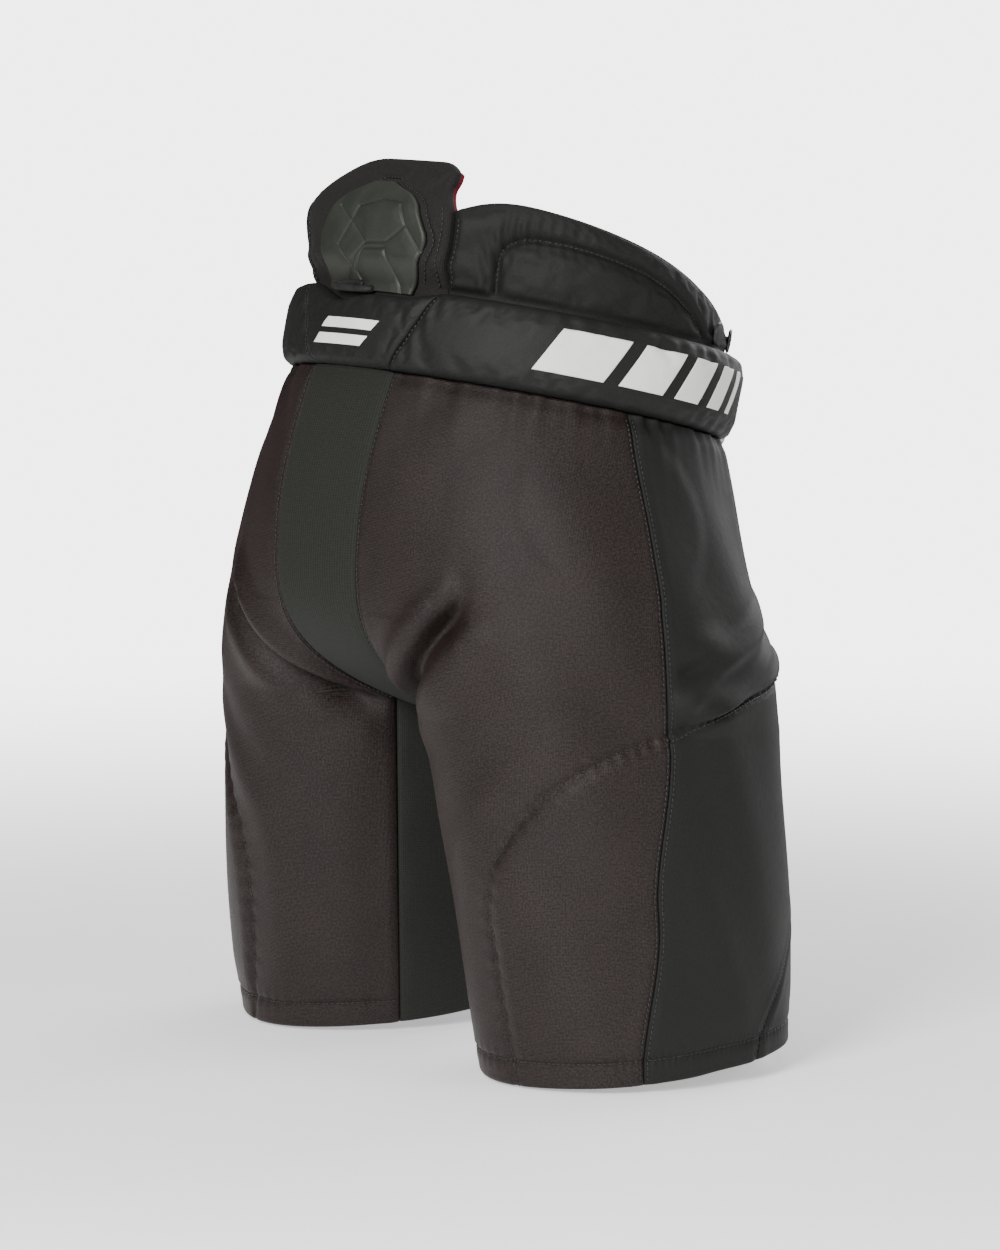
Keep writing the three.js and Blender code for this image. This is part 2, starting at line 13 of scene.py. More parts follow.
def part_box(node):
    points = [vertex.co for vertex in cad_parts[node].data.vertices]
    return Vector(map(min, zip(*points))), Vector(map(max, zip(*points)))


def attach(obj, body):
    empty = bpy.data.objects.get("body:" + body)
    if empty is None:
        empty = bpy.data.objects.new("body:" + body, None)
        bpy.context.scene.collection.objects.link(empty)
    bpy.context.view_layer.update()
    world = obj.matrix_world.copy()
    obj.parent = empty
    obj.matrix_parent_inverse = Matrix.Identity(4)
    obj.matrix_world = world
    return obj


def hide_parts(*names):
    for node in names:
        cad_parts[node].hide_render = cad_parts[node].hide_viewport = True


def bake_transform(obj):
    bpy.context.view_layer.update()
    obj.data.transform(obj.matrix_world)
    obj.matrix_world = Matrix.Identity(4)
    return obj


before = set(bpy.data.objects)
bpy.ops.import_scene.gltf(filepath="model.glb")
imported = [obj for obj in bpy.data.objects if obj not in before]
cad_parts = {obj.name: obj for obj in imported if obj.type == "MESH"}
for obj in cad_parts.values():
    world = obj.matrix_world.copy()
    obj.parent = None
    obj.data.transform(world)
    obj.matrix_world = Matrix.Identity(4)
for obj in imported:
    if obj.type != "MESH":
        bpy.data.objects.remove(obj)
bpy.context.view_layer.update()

# %% [markdown]
# ## Camera, floor and light
# The camera stands behind the wearer and to the right, a little above the hips, with a long
# lens, so that the near leg is only slightly larger than the far one. Five soft boxes light
# it, as in a clothing studio: three from behind and beside, one above and one in front.

# %% Camera
MM = 0.001
azimuth = np.radians(52)
elevation = np.radians(7.0)
behind = np.array([-np.sin(azimuth), np.cos(azimuth), 0])
forward = -(behind * np.cos(elevation) + np.array([0, 0, np.sin(elevation)]))
sideways = np.array([-np.cos(azimuth), -np.sin(azimuth), 0])
upward = np.cross(sideways, forward)
eye = MM * (-4000 * forward - 7.5 * sideways - 180 * upward)

camera = bpy.data.objects.new("camera", bpy.data.cameras.new("camera"))
bpy.context.scene.collection.objects.link(camera)
camera.data.lens = 168.2
camera.data.clip_end = 50
axes = Matrix([sideways, upward, -forward]).transposed()
camera.matrix_world = Matrix.Translation(Vector(eye)) @ axes.to_4x4()
bpy.context.scene.camera = camera


# %% Floor and soft boxes
def link(obj):
    """Puts an object in the scene."""
    bpy.context.scene.collection.objects.link(obj)
    return obj


def area_light(name, place, target, size, power):
    """A square soft box at place, turned to face target."""
    data = bpy.data.lights.new(name, "AREA")
    data.shape = "SQUARE"
    data.size = size
    data.energy = power
    light = link(bpy.data.objects.new(name, data))
    light.location = place
    light.rotation_euler = (Vector(target) - Vector(place)).to_track_quat("-Z", "Y").to_euler()
    return light


middle = (0, 0, -0.15)
BEHIND_LIGHTS = [  # name, metres behind, metres aside, metres up, size in metres, watts
    ("key", 2.1, -0.9, 0.75, 0.9, 84),
    ("fill", 1.2, 2.1, 0.5, 1.4, 22),
    ("rim", 0.6, -2.3, 0.9, 1.4, 5),
]
for name, away, aside, up, size, power in BEHIND_LIGHTS:
    area_light(name, tuple(away * behind + aside * sideways + np.array([0, 0, up])), middle, size, power)
area_light("top", (0.1, 0.1, 2.4), middle, 1.6, 26)
area_light("front", (0.5, -2.3, 0.8), middle, 1.8, 44)

FLOOR_LEVEL, FLOOR_HALF = -0.468, 3.0
floor_mesh = bpy.data.meshes.new("floor")
floor_mesh.from_pydata(
    [(FLOOR_HALF * i, FLOOR_HALF * j, FLOOR_LEVEL) for i, j in ((-1, -1), (1, -1), (1, 1), (-1, 1))],
    [],
    [(0, 1, 2, 3)],
)
floor = link(bpy.data.objects.new("floor", floor_mesh))

world = bpy.data.worlds.new("studio")
world.use_nodes = True
world.node_tree.nodes["Background"].inputs["Color"].default_value = (1.0, 1.0, 1.0, 1)
sky = world.node_tree.nodes.new("ShaderNodeMapRange")
sky.inputs["To Min"].default_value = 0.11  # what the walls of the room give as light
sky.inputs["To Max"].default_value = 4.5  # how bright they look
seen = world.node_tree.nodes.new("ShaderNodeLightPath")
world.node_tree.links.new(seen.outputs["Is Camera Ray"], sky.inputs["Value"])
strength = world.node_tree.nodes["Background"].inputs["Strength"]
world.node_tree.links.new(sky.outputs["Result"], strength)
bpy.context.scene.world = world

# %% [markdown]
# ## Materials
# A small kit of nodes: colour noise in two scales, a weave from two crossed waves, and a
# bump. Woven cloth reads the piece's own UV map, which is in metres along the cloth, so the
# threads turn with the fabric. Rubber, plastic and metal read Object coordinates.


# %% Material kit
def linear(r, g, b):
    """An 8-bit screen colour as the linear colour that shaders take."""
    c = np.array([r, g, b]) / 255
    return (*np.where(c <= 0.04045, c / 12.92, ((c + 0.055) / 1.055) ** 2.4), 1)


class Finish:
    """One material under construction: its node tree, shader and coordinates."""

    def __init__(self, name, source="UV"):
        self.material = bpy.data.materials.new(name)
        self.material.use_nodes = True
        self.tree = self.material.node_tree
        self.shader = self.tree.nodes["Principled BSDF"]
        self.place = self.node("ShaderNodeTexCoord").outputs[source]

    def node(self, kind, **values):
        """A node, with its sockets and properties set by name."""
        made = self.tree.nodes.new(kind)
        for key, value in values.items():
            if key in made.inputs:
                made.inputs[key].default_value = value
            else:
                setattr(made, key, value)
        return made

    def join(self, output, socket):
        """A link from an output to an input."""
        self.tree.links.new(output, socket)

    def noise(self, scale, detail=4.0):
        """Smooth noise with that many waves in a metre."""
        made = self.node("ShaderNodeTexNoise", Scale=scale, Detail=detail)
        self.join(self.place, made.inputs["Vector"])
        return made.outputs["Fac"]

    def math(self, kind, a, b):
        """Arithmetic on two values or outputs."""
        made = self.node("ShaderNodeMath", operation=kind)
        for value, socket in ((a, made.inputs[0]), (b, made.inputs[1])):
            if isinstance(value, (int, float)):
                socket.default_value = value
            else:
                self.join(value, socket)
        return made.outputs[0]

    def threads(self, pitch, direction):
        """Parallel threads, one each pitch metres, as a wave from 0 to 1."""
        made = self.node("ShaderNodeTexWave", wave_type="BANDS", bands_direction=direction)
        made.inputs["Scale"].default_value = 0.314 / pitch  # one band is pi / 10 long at scale 1
        made.inputs["Distortion"].default_value = 0.6
        made.inputs["Detail"].default_value = 1.0
        made.inputs["Detail Scale"].default_value = 2.0
        self.join(self.place, made.inputs["Vector"])
        return made.outputs["Fac"]

    def mixed(self, factor, low, high, start=0.3, end=0.7):
        """A colour ramp between two colours, driven by a value."""
        ramp_node = self.node("ShaderNodeValToRGB")
        ends = ramp_node.color_ramp.elements
        ends[0].position, ends[0].color = start, low
        ends[1].position, ends[1].color = end, high
        self.join(factor, ramp_node.inputs["Fac"])
        return ramp_node.outputs["Color"]

    def colour(self, output):
        """The base colour comes from this output."""
        self.join(output, self.shader.inputs["Base Color"])

    def rough(self, factor, low, high):
        """Roughness varies from low to high with a value."""
        made = self.node("ShaderNodeMapRange")
        made.inputs["To Min"].default_value = low
        made.inputs["To Max"].default_value = high
        self.join(factor, made.inputs["Value"])
        self.join(made.outputs["Result"], self.shader.inputs["Roughness"])

    def bump(self, height, distance, strength=1.0, under=None):
        """Bump of that many metres, on top of another bump."""
        made = self.node("ShaderNodeBump", Strength=strength, Distance=distance)
        self.join(height, made.inputs["Height"])
        if under is not None:
            self.join(under, made.inputs["Normal"])
        self.join(made.outputs["Normal"], self.shader.inputs["Normal"])
        return made.outputs["Normal"]

    def sheen(self, weight, roughness, tint):
        """Fibre sheen, set on the shader's own sockets."""
        self.shader.inputs["Sheen Weight"].default_value = weight
        self.shader.inputs["Sheen Roughness"].default_value = roughness
        self.shader.inputs["Sheen Tint"].default_value = tint


def cloth_finish(
    name, dark, light, pitch, depth, roughness, sheen, tint, gloss=0.3, shades=(0.12, 0.65)
):
    """Woven cloth: crossed threads over a slow change of shade, with a sheen.

    Shades are the places on the mixed noise where the dark colour ends and the light begins."""
    f = Finish(name)
    warp, weft = f.threads(pitch, "X"), f.threads(pitch * 0.9, "Y")
    weave = f.math("MULTIPLY", warp, weft)
    cloudy = f.noise(22, 5.0)
    grain = f.noise(650, 1.0)
    mix = f.math("ADD", f.math("MULTIPLY", weave, 0.2), f.math("MULTIPLY", cloudy, 0.12))
    mix = f.math("ADD", mix, f.math("MULTIPLY", grain, 0.55))
    f.colour(f.mixed(mix, dark, light, *shades))
    f.rough(cloudy, *roughness)
    soft = f.bump(f.noise(160, 3.0), 0.0008, 0.35)
    f.bump(f.math("ADD", weave, f.math("MULTIPLY", grain, 0.6)), depth, 0.7, under=soft)
    f.sheen(*sheen, tint)
    f.shader.inputs["Specular IOR Level"].default_value = gloss
    return f.material


# %% Cloth finishes
weave = cloth_finish(
    "woven_polyester", linear(5, 4, 4), linear(50, 37, 33), 0.0011, 0.0003,
    (0.44, 0.52), (0.02, 0.3), linear(220, 170, 155), gloss=0.25, shades=(0.29, 0.55),
)
pad_cloth = cloth_finish(
    "spine_pad_cloth", linear(10, 9, 9), linear(30, 28, 26), 0.0014, 0.0004,
    (0.7, 0.85), (0.03, 0.4), linear(170, 160, 150),
)
nylon = cloth_finish(
    "smooth_nylon", linear(15, 15, 14), linear(29, 29, 28), 0.0007, 0.00012,
    (0.56, 0.7), (0.02, 0.4), linear(150, 150, 150), gloss=0.2,
)
belt_cloth = cloth_finish(
    "belt_nylon", linear(16, 16, 15), linear(30, 30, 29), 0.0008, 0.00012,
    (0.5, 0.62), (0.02, 0.4), linear(150, 150, 150), gloss=0.22,
)
lining = cloth_finish(
    "mesh_lining", linear(8, 8, 9), linear(24, 24, 25), 0.002, 0.0004,
    (0.75, 0.9), (0.03, 0.5), linear(120, 120, 120),
)
webbing = cloth_finish(
    "strap_webbing", linear(16, 16, 16), linear(34, 34, 34), 0.0016, 0.0005,
    (0.55, 0.7), (0.04, 0.4), linear(130, 130, 130),
)
red_cloth = cloth_finish(
    "red_brushed_lining", linear(118, 14, 34), linear(178, 34, 62), 0.001, 0.0003,
    (0.7, 0.85), (0.05, 0.4), linear(255, 120, 140),
)


# %% Knit, rubber, plastic, metal, thread and floor
def knit_finish():
    """Stretch knit: fine ribs that run down the strip, crossed by looser courses."""
    f = Finish("stretch_knit")
    ribs, courses = f.threads(0.0013, "X"), f.threads(0.0017, "Y")
    mix = f.math("ADD", f.math("MULTIPLY", ribs, 0.3), f.math("MULTIPLY", courses, 0.2))
    mix = f.math("ADD", mix, f.math("MULTIPLY", f.noise(500, 3.0), 0.5))
    f.colour(f.mixed(mix, linear(20, 21, 18), linear(38, 40, 35), 0.25, 0.85))
    f.bump(mix, 0.0003, 0.6)
    f.shader.inputs["Roughness"].default_value = 0.8
    f.shader.inputs["Specular IOR Level"].default_value = 0.25
    f.sheen(0.04, 0.5, linear(140, 150, 135))
    return f.material


def solid_finish(name, dark, light, roughness, metal=0.0, gloss=0.5, grain=700, depth=0.0001):
    """Moulded or cast stuff: a fine grain in its colour, gloss and surface."""
    f = Finish(name, "Object")
    slow, fine = f.noise(60, 4.0), f.noise(grain, 3.0)
    mix = f.math("ADD", f.math("MULTIPLY", slow, 0.6), f.math("MULTIPLY", fine, 0.4))
    f.colour(f.mixed(mix, dark, light))
    f.rough(slow, *roughness)
    f.bump(fine, depth, 0.5)
    f.shader.inputs["Metallic"].default_value = metal
    f.shader.inputs["Specular IOR Level"].default_value = gloss
    return f.material


knit = knit_finish()
rubber = solid_finish("moulded_rubber", linear(33, 35, 30), linear(45, 47, 41), (0.45, 0.6), gloss=0.35)
steel = solid_finish("satin_steel", linear(120, 122, 125), linear(175, 177, 180), (0.25, 0.38), 1.0)
thread = solid_finish("sewing_thread", linear(16, 15, 14), linear(34, 32, 30), (0.4, 0.5), gloss=0.4)
button_finish = solid_finish("button_enamel", linear(26, 26, 27), linear(40, 40, 41), (0.3, 0.45))
cord_finish = solid_finish(
    "braided_cord", linear(14, 14, 14), linear(44, 43, 41), (0.6, 0.75), gloss=0.3, grain=1500
)
white_print = solid_finish("white_print", linear(222, 222, 216), linear(238, 238, 233), (0.5, 0.6))


def floor_finish():
    """Matt white with a faint glow, which fades out from the middle so that no edge shows."""
    f = Finish("pale_floor", "Object")
    f.colour(f.mixed(f.noise(30, 3.0), linear(242, 242, 242), linear(246, 246, 246)))
    f.shader.inputs["Roughness"].default_value = 0.9
    f.shader.inputs["Emission Color"].default_value = (1, 1, 1, 1)
    f.shader.inputs["Emission Strength"].default_value = 0.5
    reach = f.node("ShaderNodeVectorMath", operation="LENGTH")
    f.join(f.place, reach.inputs[0])
    fade = f.node("ShaderNodeMapRange", interpolation_type="SMOOTHSTEP")
    fade.inputs["From Min"].default_value = 0.6
    fade.inputs["From Max"].default_value = 2.2
    f.join(reach.outputs["Value"], fade.inputs["Value"])
    mix = f.node("ShaderNodeMixShader")
    f.join(fade.outputs["Result"], mix.inputs["Fac"])
    f.join(f.shader.outputs["BSDF"], mix.inputs[1])
    f.join(f.node("ShaderNodeBsdfTransparent").outputs["BSDF"], mix.inputs[2])
    f.join(mix.outputs["Shader"], f.tree.nodes["Material Output"].inputs["Surface"])
    return f.material


floor_mesh.materials.append(floor_finish())
print("materials", len(bpy.data.materials))

# %% [markdown]
# ## Numbers and small functions
# These repeat the sizes of the CAD model. `along` reads a value off a short list of knots,
# eased between them, and works on whole arrays.


# %% Helpers for arrays
def lerp(a, b, t):
    """A straight mix: a at t 0, b at t 1."""
    return a + (b - a) * t


def ramp(t):
    """Smooth step: 3t^2 - 2t^3 between 0 and 1."""
    t = np.clip(t, 0, 1)
    return t * t * (3 - 2 * t)


def ease(t):
    """The mean of a smooth step and a quarter sine wave."""
    t = np.clip(t, 0, 1)
    return 0.5 * (ramp(t) + np.sin(t * np.pi / 2))


def along(knots, x):
    """The value at x of [place, value] knots, eased from one to the next."""
    table = np.array(sorted(knots), float)
    x = np.asarray(x, float)
    i = np.clip(np.searchsorted(table[:, 0], x, side="right") - 1, 0, len(table) - 2)
    t = (x - table[i, 0]) / (table[i + 1, 0] - table[i, 0])
    return lerp(table[i, 1], table[i + 1, 1], ramp(t))


def bell(x, width):
    """A bump of height 1 and that half width: exp(-(x / width)^2)."""
    return np.exp(-((x / width) ** 2))


def unit(v):
    """Vectors divided by their length."""
    return v / np.maximum(np.linalg.norm(v, axis=-1, keepdims=True), 1e-9)


def steps(points, axis):
    """Running length along one axis of a grid of points, starting at 0."""
    d = np.linalg.norm(np.diff(points, axis=axis), axis=-1)
    start = np.zeros_like(np.take(d, [0], axis=axis))
    return np.concatenate([start, np.cumsum(d, axis=axis)], axis=axis)


def dome(distance, radius):
    """A quarter circle from 0 at the edge to 1 at radius from it."""
    return np.sqrt(np.clip(1 - (1 - np.clip(distance / radius, 0, 1)) ** 2, 0, 1))


def ring_round(across, up, sides):
    """Unit rings in the planes that two rows of vectors span: places by sides."""
    turn = 2 * np.pi * np.arange(sides) / sides
    return np.cos(turn)[None, :, None] * across[:, None] + np.sin(turn)[None, :, None] * up[:, None]


def grid_normals(points):
    """Unit normals of a grid: the cross product of its two directions."""
    return unit(np.cross(np.gradient(points, axis=1), np.gradient(points, axis=0)))


# %% [markdown]
# ## From two grids to one closed cloth
# Every panel and pad is an outer grid and an inner grid of points, closed by a rim. The
# outside and the lining are two material slots of the same mesh. If the signed volume comes
# out negative, the faces are turned, so they always point outwards.


# %% Closed skin
def inside_out(points, faces):
    """True when the faces of a closed body point inwards: its signed volume is negative."""
    a, b, c, d = (points[faces[:, n]] for n in range(4))
    return np.einsum("ij,ij->", a, np.cross(b, c)) + np.einsum("ij,ij->", a, np.cross(c, d)) < 0


def quads(rows, columns, across, down):
    """Faces of a grid; across and down say how far apart neighbours are in the list."""
    j, i = np.meshgrid(np.arange(rows), np.arange(columns), indexing="ij")
    corner = j * down + i * across
    return np.stack([corner, corner + across, corner + across + down, corner + down], -1).reshape(-1, 4)


def closed_skin(name, outer, inner, finishes):
    """A closed mesh between two grids, with its UV map in metres along the cloth."""
    rows, columns = outer.shape[:2]
    count = rows * columns
    points = np.concatenate([outer.reshape(-1, 3), inner.reshape(-1, 3)]) * MM
    outside = quads(rows - 1, columns - 1, 1, columns)
    inside = outside[:, ::-1] + count
    top, left = quads(1, columns - 1, 1, count), quads(rows - 1, 1, count, columns)
    foot, right = top + (rows - 1) * columns, left + columns - 1
    rims = np.concatenate([top[:, ::-1], foot, left[:, ::-1], right])
    faces = np.concatenate([outside, inside, rims])
    if inside_out(points, faces):
        faces = faces[:, ::-1]
    along_row = steps(outer[rows // 2][None], 1)[0] * MM
    down_column = steps(outer[:, columns // 2][:, None], 0)[:, 0] * MM
    uv = np.stack(np.meshgrid(along_row, down_column), -1).reshape(-1, 2)
    slots = np.repeat([0, 1, 0], [len(outside), len(inside), len(rims)])
    return put_mesh(name, points, faces, finishes, np.concatenate([uv, uv]), slots)


def put_mesh(name, points, faces, finishes, uv=None, slots=None):
    """Points and four-sided faces into a smooth mesh object, with its UV map."""
    mesh = bpy.data.meshes.new(name)
    mesh.vertices.add(len(points))
    mesh.vertices.foreach_set("co", np.ascontiguousarray(points, np.float32).ravel())
    mesh.loops.add(faces.size)
    mesh.loops.foreach_set("vertex_index", np.ascontiguousarray(faces, np.int32).ravel())
    mesh.polygons.add(len(faces))
    sides = faces.shape[1]
    mesh.polygons.foreach_set("loop_start", np.arange(len(faces), dtype=np.int32) * sides)
    mesh.update(calc_edges=True)
    mesh.polygons.foreach_set("use_smooth", np.ones(len(faces), bool))
    for finish in finishes:
        mesh.materials.append(finish)
    if slots is not None:
        used = np.minimum(slots, len(finishes) - 1).astype(np.int32)
        mesh.polygons.foreach_set("material_index", used)
    if uv is not None:
        layer = mesh.uv_layers.new(name="cloth")
        layer.data.foreach_set("uv", np.ascontiguousarray(uv[faces.ravel()], np.float32).ravel())
    mesh.validate()
    return link(bpy.data.objects.new(name, mesh))


# %% [markdown]
# ## The fabric surface
# One formula covers seat and legs. Sections are taken at a nominal height z: an ellipse arc
# at the hips, an ellipse tube for each leg, and a mix of both through the fork. The section
# tilts with the belt at the top and with the hem at the bottom.

# %% Sizes of seat and legs
TILT = np.radians(13.5)
TOP = -28.7 / np.cos(TILT)
HEM = -457.0
HEM_STITCH = HEM + 16
CROTCH = -235.0
WALL = 3.0
INSEAM = 62.0
FORK_POWER = 4.0
CROTCH_LEG = np.array([110.0, 15, 110, 91, 129])
HEM_LEG = np.array([136.0, 1, 95, 91, 112])


# %% Seat and leg sections
def slope(z):
    """How much a section tilts: the belt's slope at the top, the hem's at the foot."""
    return lerp(np.tan(TILT), -0.085, (TOP - z) / (TOP - HEM))


def fork(z):
    """0 above the fork and 1 at the crotch, as a power curve."""
    return np.clip((-120 - z) / (-120 - CROTCH), 0, 1) ** FORK_POWER


def torso(angle, z):
    """An ellipse that widens from waist to hips; angle is from the back, in degrees."""
    drop = TOP - z
    width = lerp(168, 228, ease(drop / 200))
    depth = lerp(134, 160, 1 - np.exp(-drop / 75))
    centre = lerp(5, 16, ease(drop / 100))
    a = np.radians(angle)
    return np.stack([width * np.sin(a), centre + depth * np.cos(a)], -1)


def leg(angle, z):
    """An ellipse tube, fuller outside than inside, that narrows to the hem."""
    t = np.clip((CROTCH - z) / (CROTCH - HEM), 0, 1)
    x, y, outside, inside, depth = (lerp(a, b, t) for a, b in zip(CROTCH_LEG, HEM_LEG))
    a = np.radians(angle)
    across = np.where(np.sin(a) > 0, outside, inside)
    return np.stack([x + across * np.sin(a), y + depth * np.cos(a)], -1)


def tilted(flat, z):
    """A section's points raised by the section's slope times y."""
    return np.stack([flat[..., 0], flat[..., 1], z + slope(z) * flat[..., 1]], -1)


def cloth(s, z):
    """The left side's cloth, s from -1 at the back of the gusset to 1 at its front."""
    s, z = np.broadcast_arrays(np.asarray(s, float), np.asarray(z, float))
    edge = np.where(s < 0, 44.0, 24.0)
    reach = 90 - np.degrees(np.arcsin(edge / torso(90 + 0 * z, z)[..., 0]))
    hips = torso(90 + reach * s, z)
    legs = leg(90 + (90 + INSEAM) * (0.5 * s + 0.5 * s**3), z)
    return tilted(lerp(hips, legs, fork(z)[..., None]), z)


def cloth_out(s, z):
    """The outward normal of the cloth, from small steps in s and z."""
    across = cloth(s + 0.004, z) - cloth(s - 0.004, z)
    down = cloth(s, z - 1.0) - cloth(s, z + 1.0)
    return unit(np.cross(across, down))


def side_seam(z):
    """Where the side seam runs: behind the hip, and further back towards the hem."""
    return along([[HEM, -0.36], [-350, -0.25], [CROTCH, -0.14], [-110, -0.1], [TOP, -0.14]], z)


def front_seam(z):
    """Where the front seam runs: along the groin and across the thigh."""
    return along([[HEM, 0.21], [-350, 0.61], [CROTCH, 0.66], [TOP, 0.62]], z)


# %% [markdown]
# ## Folds and pockets
# Cloth never lies perfectly even. The relief is a depth below the plain surface, positive
# inwards: a crease under each buttock, puckers over the hip, gathers under the belt, a
# pocket line sewn round the thigh guard, and slow waves everywhere.

# %% Relief of the cloth
ACROSS = 275.0  # millimetres for one unit of s, near enough everywhere


def path_distance(s, z, knots, across=ACROSS):
    """Signed distance to a bent line, and how far along it: the nearest of its segments."""
    x, y = s * across, np.broadcast_to(z, s.shape)
    pts = np.array(knots, float) * [across, 1]
    best = np.full(s.shape, 1e9)
    signed, travelled, start = np.zeros(s.shape), np.zeros(s.shape), 0.0
    for a, b in zip(pts[:-1], pts[1:]):
        run = b - a
        length = np.hypot(*run)
        t = np.clip(((x - a[0]) * run[0] + (y - a[1]) * run[1]) / length**2, 0, 1)
        dx, dy = x - a[0] - t * run[0], y - a[1] - t * run[1]
        d = np.hypot(dx, dy)
        near = d < best
        best = np.where(near, d, best)
        signed = np.where(near, np.sign(run[0] * dy - run[1] * dx) * d, signed)
        travelled = np.where(near, start + t * length, travelled)
        start += length
    return signed, travelled / start


CREASE = [(-0.97, -236), (-0.9, -220), (-0.83, -200), (-0.77, -183), (-0.66, -157)]
POCKET_LINE = [
    (-0.2, -238), (-0.33, -246), (-0.45, -260), (-0.55, -277), (-0.63, -299), (-0.69, -322),
    (-0.715, -350), (-0.72, -400), (-0.715, -458),
]
GROIN_LINE = [(-0.17, -241), (-0.047, -231), (0.093, -220), (0.24, -211), (0.39, -204), (0.66, -190)]


def seat_folds(s, z):
    """The crease under the buttock: a sharp valley with a soft ridge above and one below it."""
    d, t = path_distance(s, z, CREASE)
    fade = ramp((t + 0.1) / 0.2) * ramp((1.02 - t) / 0.3)
    valley = np.where(d > 0, bell(d, 3.6), bell(d, 10.0))
    fan = np.sin(np.degrees(np.arctan2(z + 178, (s + 0.72) * ACROSS)) / 9) * ramp(1 - np.abs(d) / 60)
    return fade * (14.0 * valley - 6.0 * bell(d - 13, 9) - 4.0 * bell(d + 20, 13)) + 0.5 * fan


def pocket_folds(s, z):
    """The thigh guard's pocket: a sewn line, a raised field inside it and small puckers."""
    d, t = path_distance(s, z, POCKET_LINE)
    above = ramp((z - HEM) / 40)
    line = 2.0 * bell(d, 2.0) - 3.2 * ramp((d + 2) / 12) * above * (d > -2)
    drag = 1.6 * np.sin(d / 7 + 3 * t) * bell(d + 26, 22) * bell(t - 0.45, 0.3)
    return line + 0.5 * np.sin(t * 150) * bell(d, 7) * ramp((z - HEM) / 30) + drag


def hip_folds(s, z):
    """Slack nylon over the groin line bunches in rolls that run along it."""
    d, t = path_distance(s, z, GROIN_LINE)
    over = ramp(d / 6) * ramp((70 - d) / 40) * ramp((s + 0.16) / 0.12)
    puff = np.sin(d / 7.0 + 3.0 * s + 1.6 * np.sin(s * 8)) + 0.6 * np.sin(d / 4.3 - s * 14 + 2)
    return 1.6 * bell(d, 2.0) - over * (3.6 * puff + 5.0 * bell(d - 20, 20))


def belt_gathers(s, z):
    """Short tucks where the cloth is sewn into the belt, and two long soft drags below."""
    below = TOP - z
    tucks = np.sin(s * 60 + 2.2 * np.sin(s * 11)) + 0.6 * np.sin(s * 97 + 1)
    drags = np.sin(s * 26 + below / 16) * bell(s + 0.8, 0.22) * bell(below - 18, 22)
    return 0.9 * tucks * np.exp(-below / 15) + 1.6 * bell(below - 2, 5) - 1.3 * drags


def relief(s, z):
    """Depth of the cloth below its plain surface in millimetres, the same on both sides."""
    below = TOP - z
    depth = 1.6 * np.sin(s * 9.0 + z / 60) * np.cos(z / 47 + s * 2.0) * ramp(below / 60)
    depth -= 0.6 * np.sin(s * 21 + z / 33) * ramp(below / 80)
    depth += seat_folds(s, z) + pocket_folds(s, z) + hip_folds(s, z) + belt_gathers(s, z)
    bowl = np.hypot((s + 0.2) / 0.36, (z + 96) / 66)
    depth -= 1.8 * ramp((1 - bowl) / 0.2)
    depth += 1.3 * bell(z - HEM_STITCH, 2.0) + 0.35 * np.sin(s * 240) * bell(z - HEM_STITCH, 6)
    return depth * ramp((1 - np.abs(s)) * ACROSS / 12)


# %% [markdown]
# ## Seat and leg panels
# The real shorts are sewn from three long panels a side: woven back, nylon side and nylon
# front. Each is one cloth from belt to hem. Its edges roll into the seams, and its foot is
# turned up into the hem.


# %% Panel maker
def edge_roll(distance, radius):
    """Depth of a rounded edge: a quarter circle of that radius."""
    inside = np.clip(1 - distance / radius, 0, 1)
    return radius * (1 - np.sqrt(1 - 0.98 * inside**2))


SEAM_ROLL, HEM_ROLL = 1.4, 2.2  # radii of the rolled edges


def seam_dip(edge):
    """The cloth sinks at a seam and stands a little proud beside it."""
    return 0.9 * bell(edge, 4.0) - 0.5 * bell(edge - 7, 5.0)


def eased_columns(count, ease_by=0.55):
    """Places from 0 to 1 that are closer together at both ends."""
    t = np.linspace(0, 1, count)
    return lerp(t, ramp(t), ease_by)


SEAM_GAP = 0.05  # between two panels, each side of their seam


def panel_grids(seam_from, seam_to, z, p):
    """Outer and inner grid of a panel between two seams, with rolled edges and a hem."""
    z = z[:, None]
    low, high = seam_from(z), seam_to(z)
    s = lerp(low + SEAM_GAP / ACROSS, high - SEAM_GAP / ACROSS, p[None])
    base = cloth(s, z)
    out = cloth_out(s, z)
    run = steps(base, 1)
    edge = np.minimum(run, run[:, -1:] - run)
    foot = z - HEM
    wall = WALL + 2.0 * ramp((22 - foot) / 4)
    depth = relief(s, z) + seam_dip(edge)
    ends = edge_roll(foot, HEM_ROLL) + edge_roll(TOP - z, 1.2)
    roll = edge_roll(edge, SEAM_ROLL) + ends
    back = wall - ends
    outer = base - out * (depth + roll)[..., None]
    inner = base - out * (depth + np.maximum(back, roll + 0.2))[..., None]
    return outer, inner


# Heights of the hem's rows, which crowd towards its rolled foot, and of all rows of a panel.
HEM_ROWS = HEM + np.array([22, 20, 18.5, 17, 15.5, 14, 11, 8, 5, 3, 1.6, 0.7, 0.1])
PANEL_ROWS = np.concatenate([TOP - np.array([0, 0.4, 1.2]), np.linspace(TOP - 3, HEM + 24, 196), HEM_ROWS])


def swing(obj):
    """Bakes the piece's transform into its mesh."""
    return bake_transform(obj)


def on_side(points, sign):
    """The same points on the wearer's left (1) or right (-1)."""
    return points * np.array([sign, 1, 1])


SIDES = {"left": 1, "right": -1}
back_edge = lambda z: -1 + 0 * z
front_edge = lambda z: 1 + 0 * z
